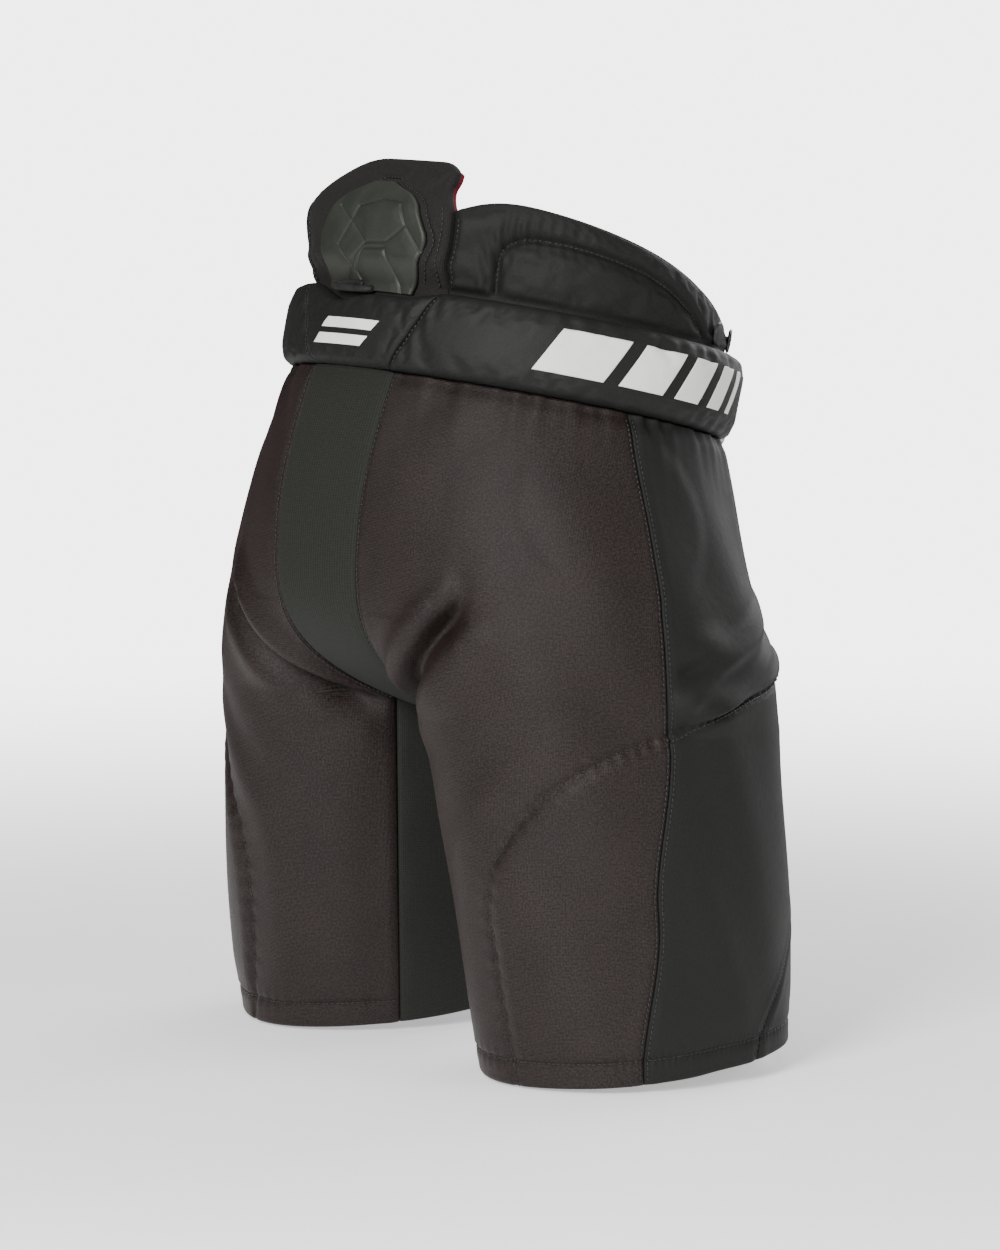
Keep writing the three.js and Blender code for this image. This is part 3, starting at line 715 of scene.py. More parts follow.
# Each panel's two seams, columns, cloth, slot and the CAD nodes that it stands for.
PANELS = {
    "back": (
        back_edge, side_seam, 112, weave, "weave",
        ["seat_panel", "thigh_back_panel", "hip_fold", "hem_band"],
    ),
    "side": (side_seam, front_seam, 104, nylon, "nylon", ["hip_panel", "thigh_side_panel"]),
    "front": (front_seam, front_edge, 84, nylon, "nylon", ["front_panel", "thigh_front_panel"]),
}

# %% Make the panels
for side, sign in SIDES.items():
    for part, (seam_from, seam_to, columns, finish, slot_name, nodes) in PANELS.items():
        grids = panel_grids(seam_from, seam_to, PANEL_ROWS, eased_columns(columns))
        outer, inner = (on_side(grid, sign) for grid in grids)
        skin = closed_skin(f"{part}_panel_{side}", outer, inner, [finish, lining])
        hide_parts(*[f"{n}_{side}" for n in nodes])
        swing(skin)
print("panels made")

# %% [markdown]
# ## Inner thighs and gusset
# A stretch-knit strip runs from the back of the belt, between the legs and up to the fly.
# The inner thighs are a knit of their own. The strip's edges are the panels' edges.


# %% Inner thighs
def thigh(angle, z):
    """The leg tube's surface."""
    return tilted(leg(angle, z), np.broadcast_to(z, np.broadcast_shapes(np.shape(angle), np.shape(z))))


def thigh_out(angle, z):
    """Outward normal of the leg tube."""
    across = thigh(angle + 0.5, z) - thigh(angle - 0.5, z)
    down = thigh(angle, z - 1.0) - thigh(angle, z + 1.0)
    return unit(np.cross(across, down))


z = np.concatenate([np.linspace(CROTCH - 1, HEM + 24, 110), HEM_ROWS])[:, None]
angle = lerp(180 + INSEAM + 0.02, 360 - INSEAM - 0.02, eased_columns(40))[None]
base, out = thigh(angle, z), thigh_out(angle, z)
run = steps(base, 1)
edge, foot = np.minimum(run, run[:, -1:] - run), z - HEM
ripple = 0.5 * np.sin(z / 9 + np.sin(angle / 9)) * ramp(edge / 12) + 0.9 * bell(edge, 4)
roll = edge_roll(edge, SEAM_ROLL) + edge_roll(foot, HEM_ROLL)
wall = WALL + 2.0 * ramp((22 - foot) / 4) - edge_roll(foot, HEM_ROLL)
for side, sign in SIDES.items():
    outer = on_side(base - out * (ripple + roll)[..., None], sign)
    inner = on_side(base - out * (ripple + np.maximum(wall, roll + 0.2))[..., None], sign)
    skin = closed_skin(f"inner_thigh_{side}", outer, inner, [knit, lining])
    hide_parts(f"inner_thigh_panel_{side}")
    swing(skin)


# %% Gusset
GUSSET_GAP, GUSSET_BULGE = 0.3, 3  # beside the panels, and outwards in its middle


def gusset_edge(w):
    """The strip's left edge: down the back (0 to 1), under (1 to 2) and up the front (2 to 3)."""
    w = np.asarray(w, float)
    down = cloth(-1.0 + 0 * w, lerp(TOP, CROTCH, np.clip(w, 0, 1)))
    under = thigh(lerp(-INSEAM, INSEAM - 180, np.clip(w - 1, 0, 1)), CROTCH + 0 * w)
    rise = cloth(1.0 + 0 * w, lerp(CROTCH, TOP - 90, np.clip(w - 2, 0, 1)))
    w = w[..., None]
    return np.where(w <= 1, down, np.where(w <= 2, under, rise))


w = np.concatenate([np.linspace(0, 1, 110), np.linspace(1, 2, 70)[1:], np.linspace(2, 3, 70)[1:]])
middle_line = gusset_edge(w)
way = unit((gusset_edge(np.minimum(w + 0.02, 3)) - gusset_edge(np.maximum(w - 0.02, 0))) * [0, 1, 1])
strip_out = np.stack([0 * w, -way[:, 2], way[:, 1]], -1)
p = 1 - 2 * eased_columns(56)
half_width = middle_line[:, 0] - GUSSET_GAP
across = p[None] * half_width[:, None]
edge = half_width[:, None] - np.abs(across)
bulge = GUSSET_BULGE * (1 - p**2)[None] + 0.5 * np.sin(6 * w)[:, None] * np.sin(2.5 * p)[None]
rise = bulge - edge_roll(edge, SEAM_ROLL) - 0.8 * bell(edge, 4)
fall = bulge - WALL + edge_roll(edge, SEAM_ROLL) - 0.8 * bell(edge, 4)
flat = middle_line[:, None] * [0, 1, 1] + across[..., None] * [1, 0, 0]
outer = flat + strip_out[:, None] * rise[..., None]
inner = flat + strip_out[:, None] * np.minimum(fall, rise - 0.2)[..., None]
gusset = closed_skin("gusset_strip", outer, inner, [knit, lining])
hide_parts("crotch_gusset")
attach(gusset, "seat")
print("gusset made")

# %% [markdown]
# ## Belt
# The belt is foam in nylon, seamed into a back piece and two long sides. Its section is a
# closed loop: flat against the body and crowned outside. Each side is then blown up a little
# as cloth under pressure, which gives the soft wrinkles of a stuffed tube.


# %% The belt's frame
WAIST_ACROSS, WAIST_DEEP = 161.0, 130.0  # half axes of the ellipse inside the belt


def waist_to_row(points):
    """Points of the belt's tilted frame, turned about X into the row frame."""
    c, s = np.cos(TILT), np.sin(TILT)
    x, y, z = points[..., 0], points[..., 1], points[..., 2]
    return np.stack([x, y * c - z * s, y * s + z * c], -1)


def belt_point(angle, height, out):
    """A point on the belt's inner ellipse, moved out along its normal."""
    angle, height, out = np.broadcast_arrays(np.asarray(angle, float), height, out)
    a, b, turn = WAIST_ACROSS, WAIST_DEEP, np.radians(angle)
    nx, ny = b * np.sin(turn), a * np.cos(turn)
    size = np.hypot(nx, ny)
    x, y = a * np.sin(turn) + nx / size * out, b * np.cos(turn) + ny / size * out
    return np.stack([x, y, height], -1)


def pillow(q, rim, full, flat=5.0):
    """Thickness from rim to full and back: 1 - |2q - 1|^flat."""
    return rim + (full - rim) * (1 - np.abs(2 * q - 1) ** flat)


# %% Cloth under pressure
def spread(small, rows, columns):
    """A coarse grid of vectors, read at every place of a finer one."""
    r = np.linspace(0, small.shape[0] - 1.001, rows)
    c = np.linspace(0, small.shape[1] - 1.001, columns)
    i, j = r.astype(int), c.astype(int)
    u, v = (r - i)[:, None, None], (c - j)[None, :, None]
    above = lerp(small[i][:, j], small[i][:, j + 1], v)
    under = lerp(small[i + 1][:, j], small[i + 1][:, j + 1], v)
    return lerp(above, under, u)


PRESSURE, PRESSURE_STEPS = 4.0, 20
COARSE_ROWS, COARSE_COLUMNS = 34, 84


def blown_up(outer, inner, held, cap, slack=0.02):
    """How the outer grid moves when the pad is blown up as cloth for a few steps.

    A coarse copy of the pad is simulated. Points where held is 1 stay, no point moves further
    than cap, and slack is the share by which the cloth is cut larger than its filling."""
    rows, columns = outer.shape[:2]
    r = np.linspace(0, rows - 1, COARSE_ROWS).round().astype(int)
    c = np.linspace(0, columns - 1, COARSE_COLUMNS).round().astype(int)
    pick = np.ix_(r, c)
    pad = closed_skin("pad_under_pressure", outer[pick], inner[pick], [lining])
    count = len(r) * len(c)
    group = pad.vertex_groups.new(name="held")
    stay = np.concatenate([held[pick].ravel(), np.ones(count)])
    for point in np.flatnonzero(stay > 0.02):
        group.add([int(point)], float(stay[point]), "REPLACE")
    before = np.zeros(2 * count * 3, np.float32)
    pad.data.vertices.foreach_get("co", before)
    sim = pad.modifiers.new("cloth", "CLOTH")
    sim.settings.use_pressure = True
    sim.settings.uniform_pressure_force = PRESSURE
    sim.settings.effector_weights.gravity = 0
    sim.settings.vertex_group_mass = "held"
    sim.settings.shrink_min = -slack
    for step in range(1, PRESSURE_STEPS + 1):
        bpy.context.scene.frame_set(step)
    shown = pad.evaluated_get(bpy.context.evaluated_depsgraph_get())
    after = np.zeros_like(before)
    shown.data.vertices.foreach_get("co", after)
    bpy.context.scene.frame_set(1)
    bpy.data.objects.remove(pad)
    move = (after - before)[: 3 * count].reshape(len(r), len(c), 3) / MM
    far = np.linalg.norm(move, axis=2, keepdims=True)
    print("under pressure the pad moved", round(float(far.max()), 1), "mm")
    return spread(move * np.minimum(1, cap / np.maximum(far, 1e-9)), rows, columns)


# %% Belt segments
BELT_HALF = 28.0
BELT_BACKING = 1.6  # the thinnest part of its rolled edges
BELT_EASE = (0.6, 0.35)  # how much rows and columns crowd towards the edges


def belt_top(angle):
    """Height of the belt's upper edge: it dips where the lace comes out."""
    return BELT_HALF - 6.0 - 5.5 * bell(angle - 8, 7) + 6.0 * ramp((np.abs(angle) - 14) / 14)


def belt_lift(angle, level, end):
    """How far the outside stands off the body: a flat crown with rounded edges and end."""
    q = (belt_top(angle) - level) / (belt_top(angle) + BELT_HALF)
    rim = np.minimum(q, 1 - q) * (belt_top(angle) + BELT_HALF)
    crown = pillow(q, 8.5, 13.6)
    ends, lip = dome(end, 7), dome(rim, 5)
    wave = 0.45 * np.sin(angle / 6.2 + 3 * q) * np.sin(np.pi * q)
    tucks = 0.55 * np.sin(angle * 0.9 + 2 * np.sin(angle / 8)) * bell(rim - 3, 4)
    pull = 0.6 * np.sin(angle * 1.3 + level / 7) * bell(end - 6, 9)
    body = (crown - BELT_BACKING) * lerp(0.66, 1, ends) * lerp(0.25, 1, lip)
    return BELT_BACKING + body + (wave + tucks + pull) * ends


def belt_segment(from_angle, to_angle, columns):
    """A rounded belt piece whose ends follow two seam lines."""
    q = eased_columns(64, BELT_EASE[0])[:, None]
    t = eased_columns(columns, BELT_EASE[1])[None]
    level = lerp(BELT_HALF, -BELT_HALF, q)
    angle = lerp(from_angle(level), to_angle(level), t)
    level = lerp(belt_top(angle), -BELT_HALF, q)
    run = steps(belt_point(angle, level, 14.0), 1)
    end = np.minimum(run, run[:, -1:] - run)
    lift = belt_lift(angle, level, end)
    outer = waist_to_row(belt_point(angle, level, lift))
    inner = waist_to_row(belt_point(angle, level, 0 * lift))
    rim = np.minimum(level + BELT_HALF, belt_top(angle) - level)
    held = np.clip(1 - np.minimum(end, rim) / 6, 0, 1)
    outer = outer + blown_up(outer, inner, held, cap=1.4, slack=0.015) * (1 - held)[..., None]
    return outer, inner


def belt_skin(outer, from_angle, to_angle, angle, level, lift):
    """Points on a finished belt piece at an angle and height, moved out by lift."""
    rows, columns = outer.shape[:2]
    q = (belt_top(angle) - level) / (belt_top(angle) + BELT_HALF)
    seam_level = lerp(BELT_HALF, -BELT_HALF, q)
    t = (angle - from_angle(seam_level)) / (to_angle(seam_level) - from_angle(seam_level))
    r = np.interp(q, eased_columns(rows, BELT_EASE[0]), np.arange(rows)).clip(0, rows - 1.001)
    c = np.interp(t, eased_columns(columns, BELT_EASE[1]), np.arange(columns)).clip(0, columns - 1.001)
    i, j = r.astype(int), c.astype(int)
    u, v = (r - i)[..., None], (c - j)[..., None]
    skin = outer + lift * grid_normals(outer) * BELT_OUT
    return lerp(lerp(skin[i, j], skin[i, j + 1], v), lerp(skin[i + 1, j], skin[i + 1, j + 1], v), u)


def belt_seam(level):
    """The slanting seam between the back piece and a side, in degrees from the back."""
    return lerp(14, 25, 0.5 + level / (2 * BELT_HALF))


BELT_END = 180 - np.degrees(np.arcsin(20 / 175))  # 20 mm from the middle of the front
SEAM_ANGLE = 0.05  # half the gap between two pieces, in degrees
side_ends = (lambda h: belt_seam(h) + SEAM_ANGLE, lambda h: BELT_END + 0 * h)
side_outer, side_inner = belt_segment(*side_ends, 230)
BELT_OUT = np.sign(grid_normals(side_outer)[32, 10, 1])  # 1 where the grid's normals face out
for side, sign in SIDES.items():
    outer, inner = on_side(side_outer, sign), on_side(side_inner, sign)
    side_belt = closed_skin(f"belt_{side}", outer, inner, [belt_cloth, lining])
    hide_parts(f"waist_belt_{side}")
    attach(side_belt, "seat")
back_ends = (lambda h: SEAM_ANGLE - belt_seam(h), lambda h: belt_seam(h) - SEAM_ANGLE)
back_outer, inner = belt_segment(*back_ends, 90)
back_belt = closed_skin("belt_back", back_outer, inner, [belt_cloth, lining])
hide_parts("waist_belt_back")
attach(back_belt, "seat")
print("belt made")

# %% [markdown]
# ## Spine pad, its moulded cap and red liner
# The spine pad stands above the belt, with a row of stitches round the cap. The cap is
# rubber with a web of grooves between flat fields. Behind the pad lies a red brushed liner,
# which shows as a sliver past the pad's edge.


# %% Spine surface
PAD_TOP, PAD_FOOT, PAD_IN = 116, 14, 2  # heights, and how far the face lies inside the belt


def spine_point(x, height, out):
    """The pad's outer face: the belt's inner curve below, flatter and bulged above."""
    x, height, out = np.broadcast_arrays(np.asarray(x, float), height, out)
    above = np.clip((height - BELT_HALF) / (PAD_TOP - BELT_HALF), 0, 1)
    stand = along([[BELT_HALF, 0], [50, 11], [76, 13.5], [PAD_TOP, -4]], height)
    curve = WAIST_DEEP * (1 - np.sqrt(1 - (x / WAIST_ACROSS) ** 2))
    y = WAIST_DEEP - PAD_IN - curve * lerp(1, 0.35, above) + stand + out
    return waist_to_row(np.stack([x, y, height], -1))


def spine_top(x):
    """The pad's outline: level in the middle, with elliptical corners, rounder on the left."""
    left, right = np.clip((x - 14) / 70, 0, 1), np.clip((-x - 43) / 15, 0, 1)
    return PAD_TOP - 46 * (1 - np.sqrt(1 - left**2)) - 11 * (1 - np.sqrt(1 - right**2))


# Half widths of the pad on each side, by height: it leans a little to the wearer's left.
SPINE_EDGES = {
    "left": [[30, 86], [90, 84], [PAD_TOP, 84]],
    "right": [[30, 67.5], [76, 75], [100, 61], [PAD_TOP, 57]],
}


PAD_ROLL = 2.6


def spine_grids(near, far, puff, less=0.0):
    """Two faces of a pad, less mm inside the outline, rounded at its edge and puffed inside."""
    p = 0.5 + 0.5 * np.sin(np.pi / 2 * np.linspace(-1, 1, 150))[None]
    outline = spine_top(lerp(less - 57, 84 - less, p)) - less
    height = lerp(outline, PAD_FOOT, eased_columns(110, 0.5)[:, None])
    left = along(SPINE_EDGES["left"], height) - less
    right = less - along(SPINE_EDGES["right"], height)
    x = lerp(right, left, p)
    sides = np.minimum(x - right, left - x)
    rim = np.minimum(np.minimum((outline - height) * 0.85, sides), height - PAD_FOOT + 2)
    round_cap = cap_distance(x, height)
    lift = puff * (1 - np.exp(-np.clip(rim, 0, None) / 7)) - edge_roll(rim, PAD_ROLL)
    lift = lift - (puff > 0) * 1.1 * bell(round_cap - 3.5, 1.6) * ramp((height - 30) / 6)
    outer = spine_point(x, height, near + lift)
    inner = spine_point(x, height, np.minimum(far + edge_roll(rim, PAD_ROLL), near + lift - 0.2))
    if puff:
        held = np.clip(1 - np.minimum(rim, np.clip(round_cap - 3.5, 0, None)) / 5, 0, 1)
        outer = outer + blown_up(outer, inner, held, cap=1.2) * (1 - held)[..., None]
    return outer, inner


# %% Outline and grooves of the moulded cap
def segment_distance(x, y, lines):
    """Distance to the nearest of a list of line segments."""
    best = np.full(np.shape(x), 1e9)
    for (ax, ay), (bx, by) in lines:
        rx, ry = bx - ax, by - ay
        t = np.clip(((x - ax) * rx + (y - ay) * ry) / (rx * rx + ry * ry), 0, 1)
        best = np.minimum(best, np.hypot(x - ax - t * rx, y - ay - t * ry))
    return best


CAP_FOOT, CAP_TOP = 24.0, 98.0
CAP_LEFT = ([24, 58, 80, 92, 98], [47, 54, 38, 22, 3])  # heights, then x
CAP_RIGHT = ([24, 61, 85, 94, 98], [-43, -61, -49, -31, -7])
CAP_WEB = [
    ((7, 79), (-15, 84)), ((-15, 84), (-34, 83)), ((-34, 83), (-42, 68)), ((-42, 68), (-24, 56)),
    ((-24, 56), (-4, 55)), ((-4, 55), (13, 69)), ((13, 69), (7, 79)), ((13, 69), (29, 79)),
    ((13, 69), (28, 53)), ((28, 53), (14, 40)), ((-4, 55), (14, 40)), ((14, 40), (27, 24)),
    ((-24, 52), (-2, 51)), ((-24, 52), (-34, 24)), ((-2, 51), (10, 36)), ((10, 36), (2, 24)),
    ((-42, 68), (-56, 52)),
]


def cap_edge(height, knots):
    """A straight-sided outline with its corners rounded: the mean over 8 mm of height."""
    return np.mean([np.interp(height + shift, *knots) for shift in (-4, -2, 0, 2, 4)], axis=0)


def cap_distance(x, height):
    """Roughly how far a point lies outside the cap, negative inside."""
    sides = np.maximum(x - cap_edge(height, CAP_LEFT), cap_edge(height, CAP_RIGHT) - x) * 0.8
    return np.maximum(sides, height - CAP_TOP)


# %% Spine pad and liner
outer, inner = spine_grids(0.0, -7.0, 2.6)
spine_pad = closed_skin("spine_cushion", outer, inner, [pad_cloth, pad_cloth])
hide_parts("spine_pad")
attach(spine_pad, "spine")
outer, inner = spine_grids(-7.2, -13.4, 0.0, 4.0)
spine_liner = closed_skin("spine_red_liner", outer, inner, [red_cloth, red_cloth])
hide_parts("spine_liner")
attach(spine_liner, "spine")

# %% Moulded cap
height = lerp(CAP_TOP, CAP_FOOT, eased_columns(190, 0.4))[:, None]
p = 0.5 + 0.5 * np.sin(np.pi / 2 * np.linspace(-1, 1, 190))[None]
left, right = cap_edge(height, CAP_LEFT), cap_edge(height, CAP_RIGHT)
x = lerp(left, right, p)
web = segment_distance(x, height + 0 * p, CAP_WEB)
ends = np.minimum(CAP_TOP + 0.3 - height, height - CAP_FOOT + 1)
rim = np.minimum(np.minimum(left - x, x - right) * 0.8, ends)
groove = 1.3 * bell(web, 0.9) - 0.9 * ramp(web / 8)
lift = 5.0 - edge_roll(np.clip(rim, 0, None), 1.6) - groove
face, under = spine_point(x, height, lift), spine_point(x, height, np.minimum(2.4, lift - 0.2))
cap = closed_skin("spine_cap_rubber", face, under, [rubber, rubber])
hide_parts("spine_cap")
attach(cap, "spine")
print("spine made")

# %% [markdown]
# ## Kidney pads
# Two long pads rise beside the spine and fall towards the front. A sewn channel follows
# their upper edge, so the rim stands out as a soft roll. Each starts flush with the spine pad.


# %% Kidney pads
KIDNEY_DROP = {"left": 20, "right": 10}  # beside the spine: more under the pad's rounder corner


KIDNEY_PEAK, KIDNEY_END, KIDNEY_FOOT = 46, 150, -22.0  # two angles and a height
KIDNEY_IN, KIDNEY_LEAN = 1.1, 0.06  # inside the belt's ellipse, and further in by height
AROUND = 2.55  # millimetres for one degree round the pads


def kidney_top(angle, side):
    """Height of the pad's edge: a peak beside the spine, then a fall to the belt."""
    ahead = np.clip((angle - KIDNEY_PEAK) / (KIDNEY_END - KIDNEY_PEAK), 0, 1)
    behind_peak = np.clip((KIDNEY_PEAK - angle) / 20, 0, 1)
    return lerp(93, BELT_HALF, ahead**1.6) - KIDNEY_DROP[side] * behind_peak**2


def kidney_point(angle, height, out):
    """The pad's outer face, moved out: an ellipse that leans in a little above the belt."""
    angle, height, out = np.broadcast_arrays(np.asarray(angle, float), height, out)
    above = np.maximum(height - BELT_HALF, 0)
    a = WAIST_ACROSS - KIDNEY_IN + out - KIDNEY_LEAN * above
    b = a - (WAIST_ACROSS - WAIST_DEEP)
    turn = np.radians(angle)
    return waist_to_row(np.stack([a * np.sin(turn), b * np.cos(turn) + np.tan(TILT) * above, height], -1))


CHANNEL = [  # the sewn line: angles and heights
    (38, 22), (38.6, 40), (39.5, 55), (41, 63), (44, 68.5), (49, 71.8), (58, 72), (68, 70), (76, 67.5),
    (84, 64), (92, 57.5), (100, 48.5), (105, 39), (108, 30), (110, 20),
]


def kidney_start(height, side):
    """The angle where the pad meets the spine pad's edge."""
    a = WAIST_ACROSS - KIDNEY_IN - KIDNEY_LEAN * np.maximum(height - BELT_HALF, 0)
    return np.degrees(np.arcsin((along(SPINE_EDGES[side], height) + 0.4) / a))


def kidney_surface(angle, height, side):
    """How far the outside stands out, and the distances to its top, its end and its channel."""
    edge = kidney_top(angle, side) - height
    d = path_distance(angle, height, CHANNEL, AROUND)[0]
    end = np.clip((angle - kidney_start(height, side)) * AROUND, 0, None)
    puff = 4.2 * (1 - np.exp(-np.clip(edge, 0, None) / 5)) * ramp((d + 1) / 8)
    puff = puff * lerp(1, 0.55, ramp((angle - 95) / 30))
    puff = puff + 1.8 * ramp((-d - 1) / 10) - 2.6 * bell(d, 1.7)
    gather = np.sin(angle * 1.9 + 1.5 * np.sin(height / 9)) * bell(d - 5, 9) * bell(angle - 42, 16)
    small = 0.45 * np.sin(angle / 1.7 + height / 15 + 2 * np.sin(angle / 7)) * bell(d - 3, 7)
    puff = puff + 1.0 * gather + small + 0.4 * np.sin(angle / 4.3 + height / 13) * ramp((edge - 3) / 10)
    join = 0.8 * bell(end - 5, 3)
    return (puff * ramp((end + 0.5) / 9) + join) * ramp((height - 30) / 5), edge, end, d


def flush(height, end, side):
    """The shift backwards that brings the pad's end level with the spine pad's face."""
    pad_face = spine_point(along(SPINE_EDGES[side], height), height, -4.0)
    own_face = kidney_point(kidney_start(height, side), height, 0.0)
    fade = (1 - ramp(end / 30)) * ramp((height - BELT_HALF) / 10)
    return np.maximum(pad_face - own_face, 0) * [0, 1, 0] * fade[..., None]


def kidney_grids(side):
    """The pad with a rounded rim, a sewn channel and a bulging inside."""
    t = eased_columns(190, 0.35)[None]
    q = eased_columns(90, 0.45)[:, None]
    height = lerp(kidney_top(lerp(kidney_start(28.0, side), KIDNEY_END, t), side), KIDNEY_FOOT, q)
    angle = lerp(kidney_start(height, side), KIDNEY_END, t)
    lift, edge, end, d = kidney_surface(angle, height, side)
    top_roll = edge_roll(np.clip(edge, 0, None), 2.4)
    roll = top_roll + edge_roll(end, 1.6)
    shift = flush(height, end, side)
    back = top_roll - pillow(0.5 * q, 5.0, 14.0, 2.6)
    outer = kidney_point(angle, height, lift - roll) + shift
    inner = kidney_point(angle, height, np.minimum(back, lift - roll - 0.3)) + shift
    held = np.clip(1 - np.minimum(np.minimum(np.abs(d), end), np.minimum(edge, height - 30)) / 7, 0, 1)
    outer = outer + blown_up(outer, inner, held, cap=2.5) * (1 - held)[..., None]
    return outer, inner


for side, sign in SIDES.items():
    outer, inner = (on_side(grid, sign) for grid in kidney_grids(side))
    pad = closed_skin(f"kidney_cushion_{side}", outer, inner, [nylon, lining])
    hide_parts(f"kidney_pad_{side}")
    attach(pad, "seat")
print("kidney pads made")

# %% [markdown]
# ## Linings, hidden guards and the fly
# Inside, a mesh band closes the waist, and each guard sits in a soft pocket.


# %% Waist lining and pockets
def lining_point(angle, level, depth):
    """The mesh band's ellipse, 16.2 mm and that depth in from the belt's."""
    a, b, turn = WAIST_ACROSS - 16.2 - depth, WAIST_DEEP - 16.2 - depth, np.radians(angle)
    return waist_to_row(np.stack([a * np.sin(turn), b * np.cos(turn), level + 0 * turn], -1))


BAND_TOP, BAND_FOOT, BAND_THICK = 9, -27, 2.0
angle = np.linspace(-162, 162, 260)[None]
level = np.linspace(BAND_TOP, BAND_FOOT, 24)[:, None]
roll = edge_roll(np.minimum(BAND_TOP - level, level - BAND_FOOT), 0.9)
ripple = 0.25 * np.sin(angle * 0.9) * np.sin(level / 6)
outer, inner = lining_point(angle, level, ripple + roll), lining_point(angle, level, BAND_THICK - roll)
band = closed_skin("waist_lining", outer, inner, [lining, lining])
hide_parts("waist_liner")
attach(band, "seat")


def pocket(name, s_range, z_range, near, thick, sign):
    """A soft pocket: a pillow between two depths behind the cloth."""
    s = lerp(*s_range, eased_columns(60))[None]
    z = lerp(*z_range, eased_columns(50))[:, None]
    base, out = cloth(s, z), cloth_out(s, z)
    run, fall = steps(base, 1), steps(base, 0)
    edge = np.minimum(np.minimum(run, run[:, -1:] - run), np.minimum(fall, fall[-1:] - fall))
    crown = dome(edge, 14)
    quilt = 0.9 * bell(np.sin(run / 26 * np.pi) * 8, 2.0) * ramp(edge / 10)
    outer = base - out * (near + 0.6 * (1 - crown))[..., None]
    inner = base - out * (near + 1.2 + (thick - 1.2) * crown - quilt)[..., None]
    return closed_skin(name, on_side(outer, sign), on_side(inner, sign), [lining, lining])


for side, sign in SIDES.items():
    thigh_pocket = pocket(f"thigh_pocket_{side}", (0.1, 0.78), (-345, -431), 4.4, 15.4, sign)
    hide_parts(f"thigh_guard_{side}", f"thigh_foam_{side}")
    swing(thigh_pocket)
    hip_pocket = pocket(f"hip_pocket_{side}", (-0.42, 0.42), (TOP - 38, -215.8), 4.2, 5.0, sign)
    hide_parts(f"hip_guard_{side}")
    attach(hip_pocket, "seat")


# %% Tailbone pocket and fly tongue
def gusset_face(across, w, depth):
    """The gusset strip's surface again: across -1 to 1, w along it, moved in by depth."""
    line = gusset_edge(w)
    ahead, behind_it = gusset_edge(np.minimum(w + 0.02, 3)), gusset_edge(np.maximum(w - 0.02, 0))
    run = unit((ahead - behind_it) * [0, 1, 1])
    out = np.stack([0 * w, -run[..., 2], run[..., 1]], -1)
    flat_point = np.stack([across * (line[..., 0] - GUSSET_GAP), line[..., 1], line[..., 2]], -1)
    return flat_point + out * (GUSSET_BULGE * (1 - across**2) - depth)[..., None]


TAIL_FROM, TAIL_TO, TAIL_HALF = 1 / 6, 0.75, 0.8  # along the strip and across it
w, across = np.meshgrid(
    lerp(TAIL_FROM, TAIL_TO, eased_columns(50)), TAIL_HALF * (1 - 2 * eased_columns(40)), indexing="ij"
)
edge = np.minimum((TAIL_HALF - np.abs(across)) * 40, np.minimum(w - TAIL_FROM, TAIL_TO - w) * 220)
crown = dome(edge, 8)
outer = gusset_face(across, w, 3.5 + 0.5 * (1 - crown))
inner = gusset_face(across, w, 4.6 + 3.8 * crown - 0.6 * bell(np.sin(w * 30) * 6, 2.0))
tail_pocket = closed_skin("tailbone_pocket", outer, inner, [lining, lining])
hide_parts("tailbone_guard")
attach(tail_pocket, "seat")

low, high = (np.array(corner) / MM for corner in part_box("fly_tongue"))
x = np.linspace(high[0], low[0], 60)[None]
t = eased_columns(60, 0.5)[:, None]
level = lerp(high[2], low[2], t) + 0 * x
front = lerp(low[1], low[1] + 4.5, t) + 5.4 * (x / 38) ** 2
edge = np.minimum(high[0] - np.abs(x), np.minimum(high[2] - level, level - low[2]))
crown = dome(edge, 3.5)
ribs = 0.5 * bell(np.sin(x / 9.5 * np.pi / 2) * 5, 1.6) * crown
outer = np.stack([x + 0 * level, front + 3 * (1 - crown) + ribs, level], -1)
inner = np.stack([x + 0 * level, front + 3.2 + 2.6 * crown, level], -1)
tongue = closed_skin("tongue_pad", outer, inner, [knit, lining])
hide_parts("fly_tongue")
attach(tongue, "fly_tongue")

# %% [markdown]
# ## Strap, buckle, eyelets and lace
# Hardware keeps its CAD shape and only gets its metal. The strap is woven tape, laid over the
# belt, and the lace is a braid: a tube whose radius swells where the strands cross.

# %% Strap and hardware
STRAP_HALF, STRAP_NEAR, STRAP_FAR = 19, 14.5, 16.0  # half width, and both faces off the body
angle = lerp(148, 212, eased_columns(200, 0.2))[None]
level = lerp(STRAP_HALF, -STRAP_HALF, eased_columns(44, 0.5))[:, None]
edge = STRAP_HALF - np.abs(level) + 0 * angle
rib = 0.16 * np.sin(angle * 4.2) * ramp((edge - 2) / 2) + 0.2 * bell(edge - 3, 0.8)
outer = waist_to_row(belt_point(angle, level, STRAP_FAR - edge_roll(edge, 0.7) + rib))
inner = waist_to_row(belt_point(angle, level, STRAP_NEAR + edge_roll(edge, 0.7)))
strap = closed_skin("strap_tape", outer, inner, [webbing, webbing])
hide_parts("belt_strap")
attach(strap, "seat")


def dress(node, finish):
    """A CAD node keeps its shape and gets a finish."""
    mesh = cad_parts[node].data
    mesh.materials.clear()
    mesh.materials.append(finish)


HARDWARE = {"buckle": steel, "eyelet": steel, "brace_button": button_finish}
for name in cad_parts:
    for start, finish in HARDWARE.items():
        if name.startswith(start):
            dress(name, finish)
print("hardware dressed")


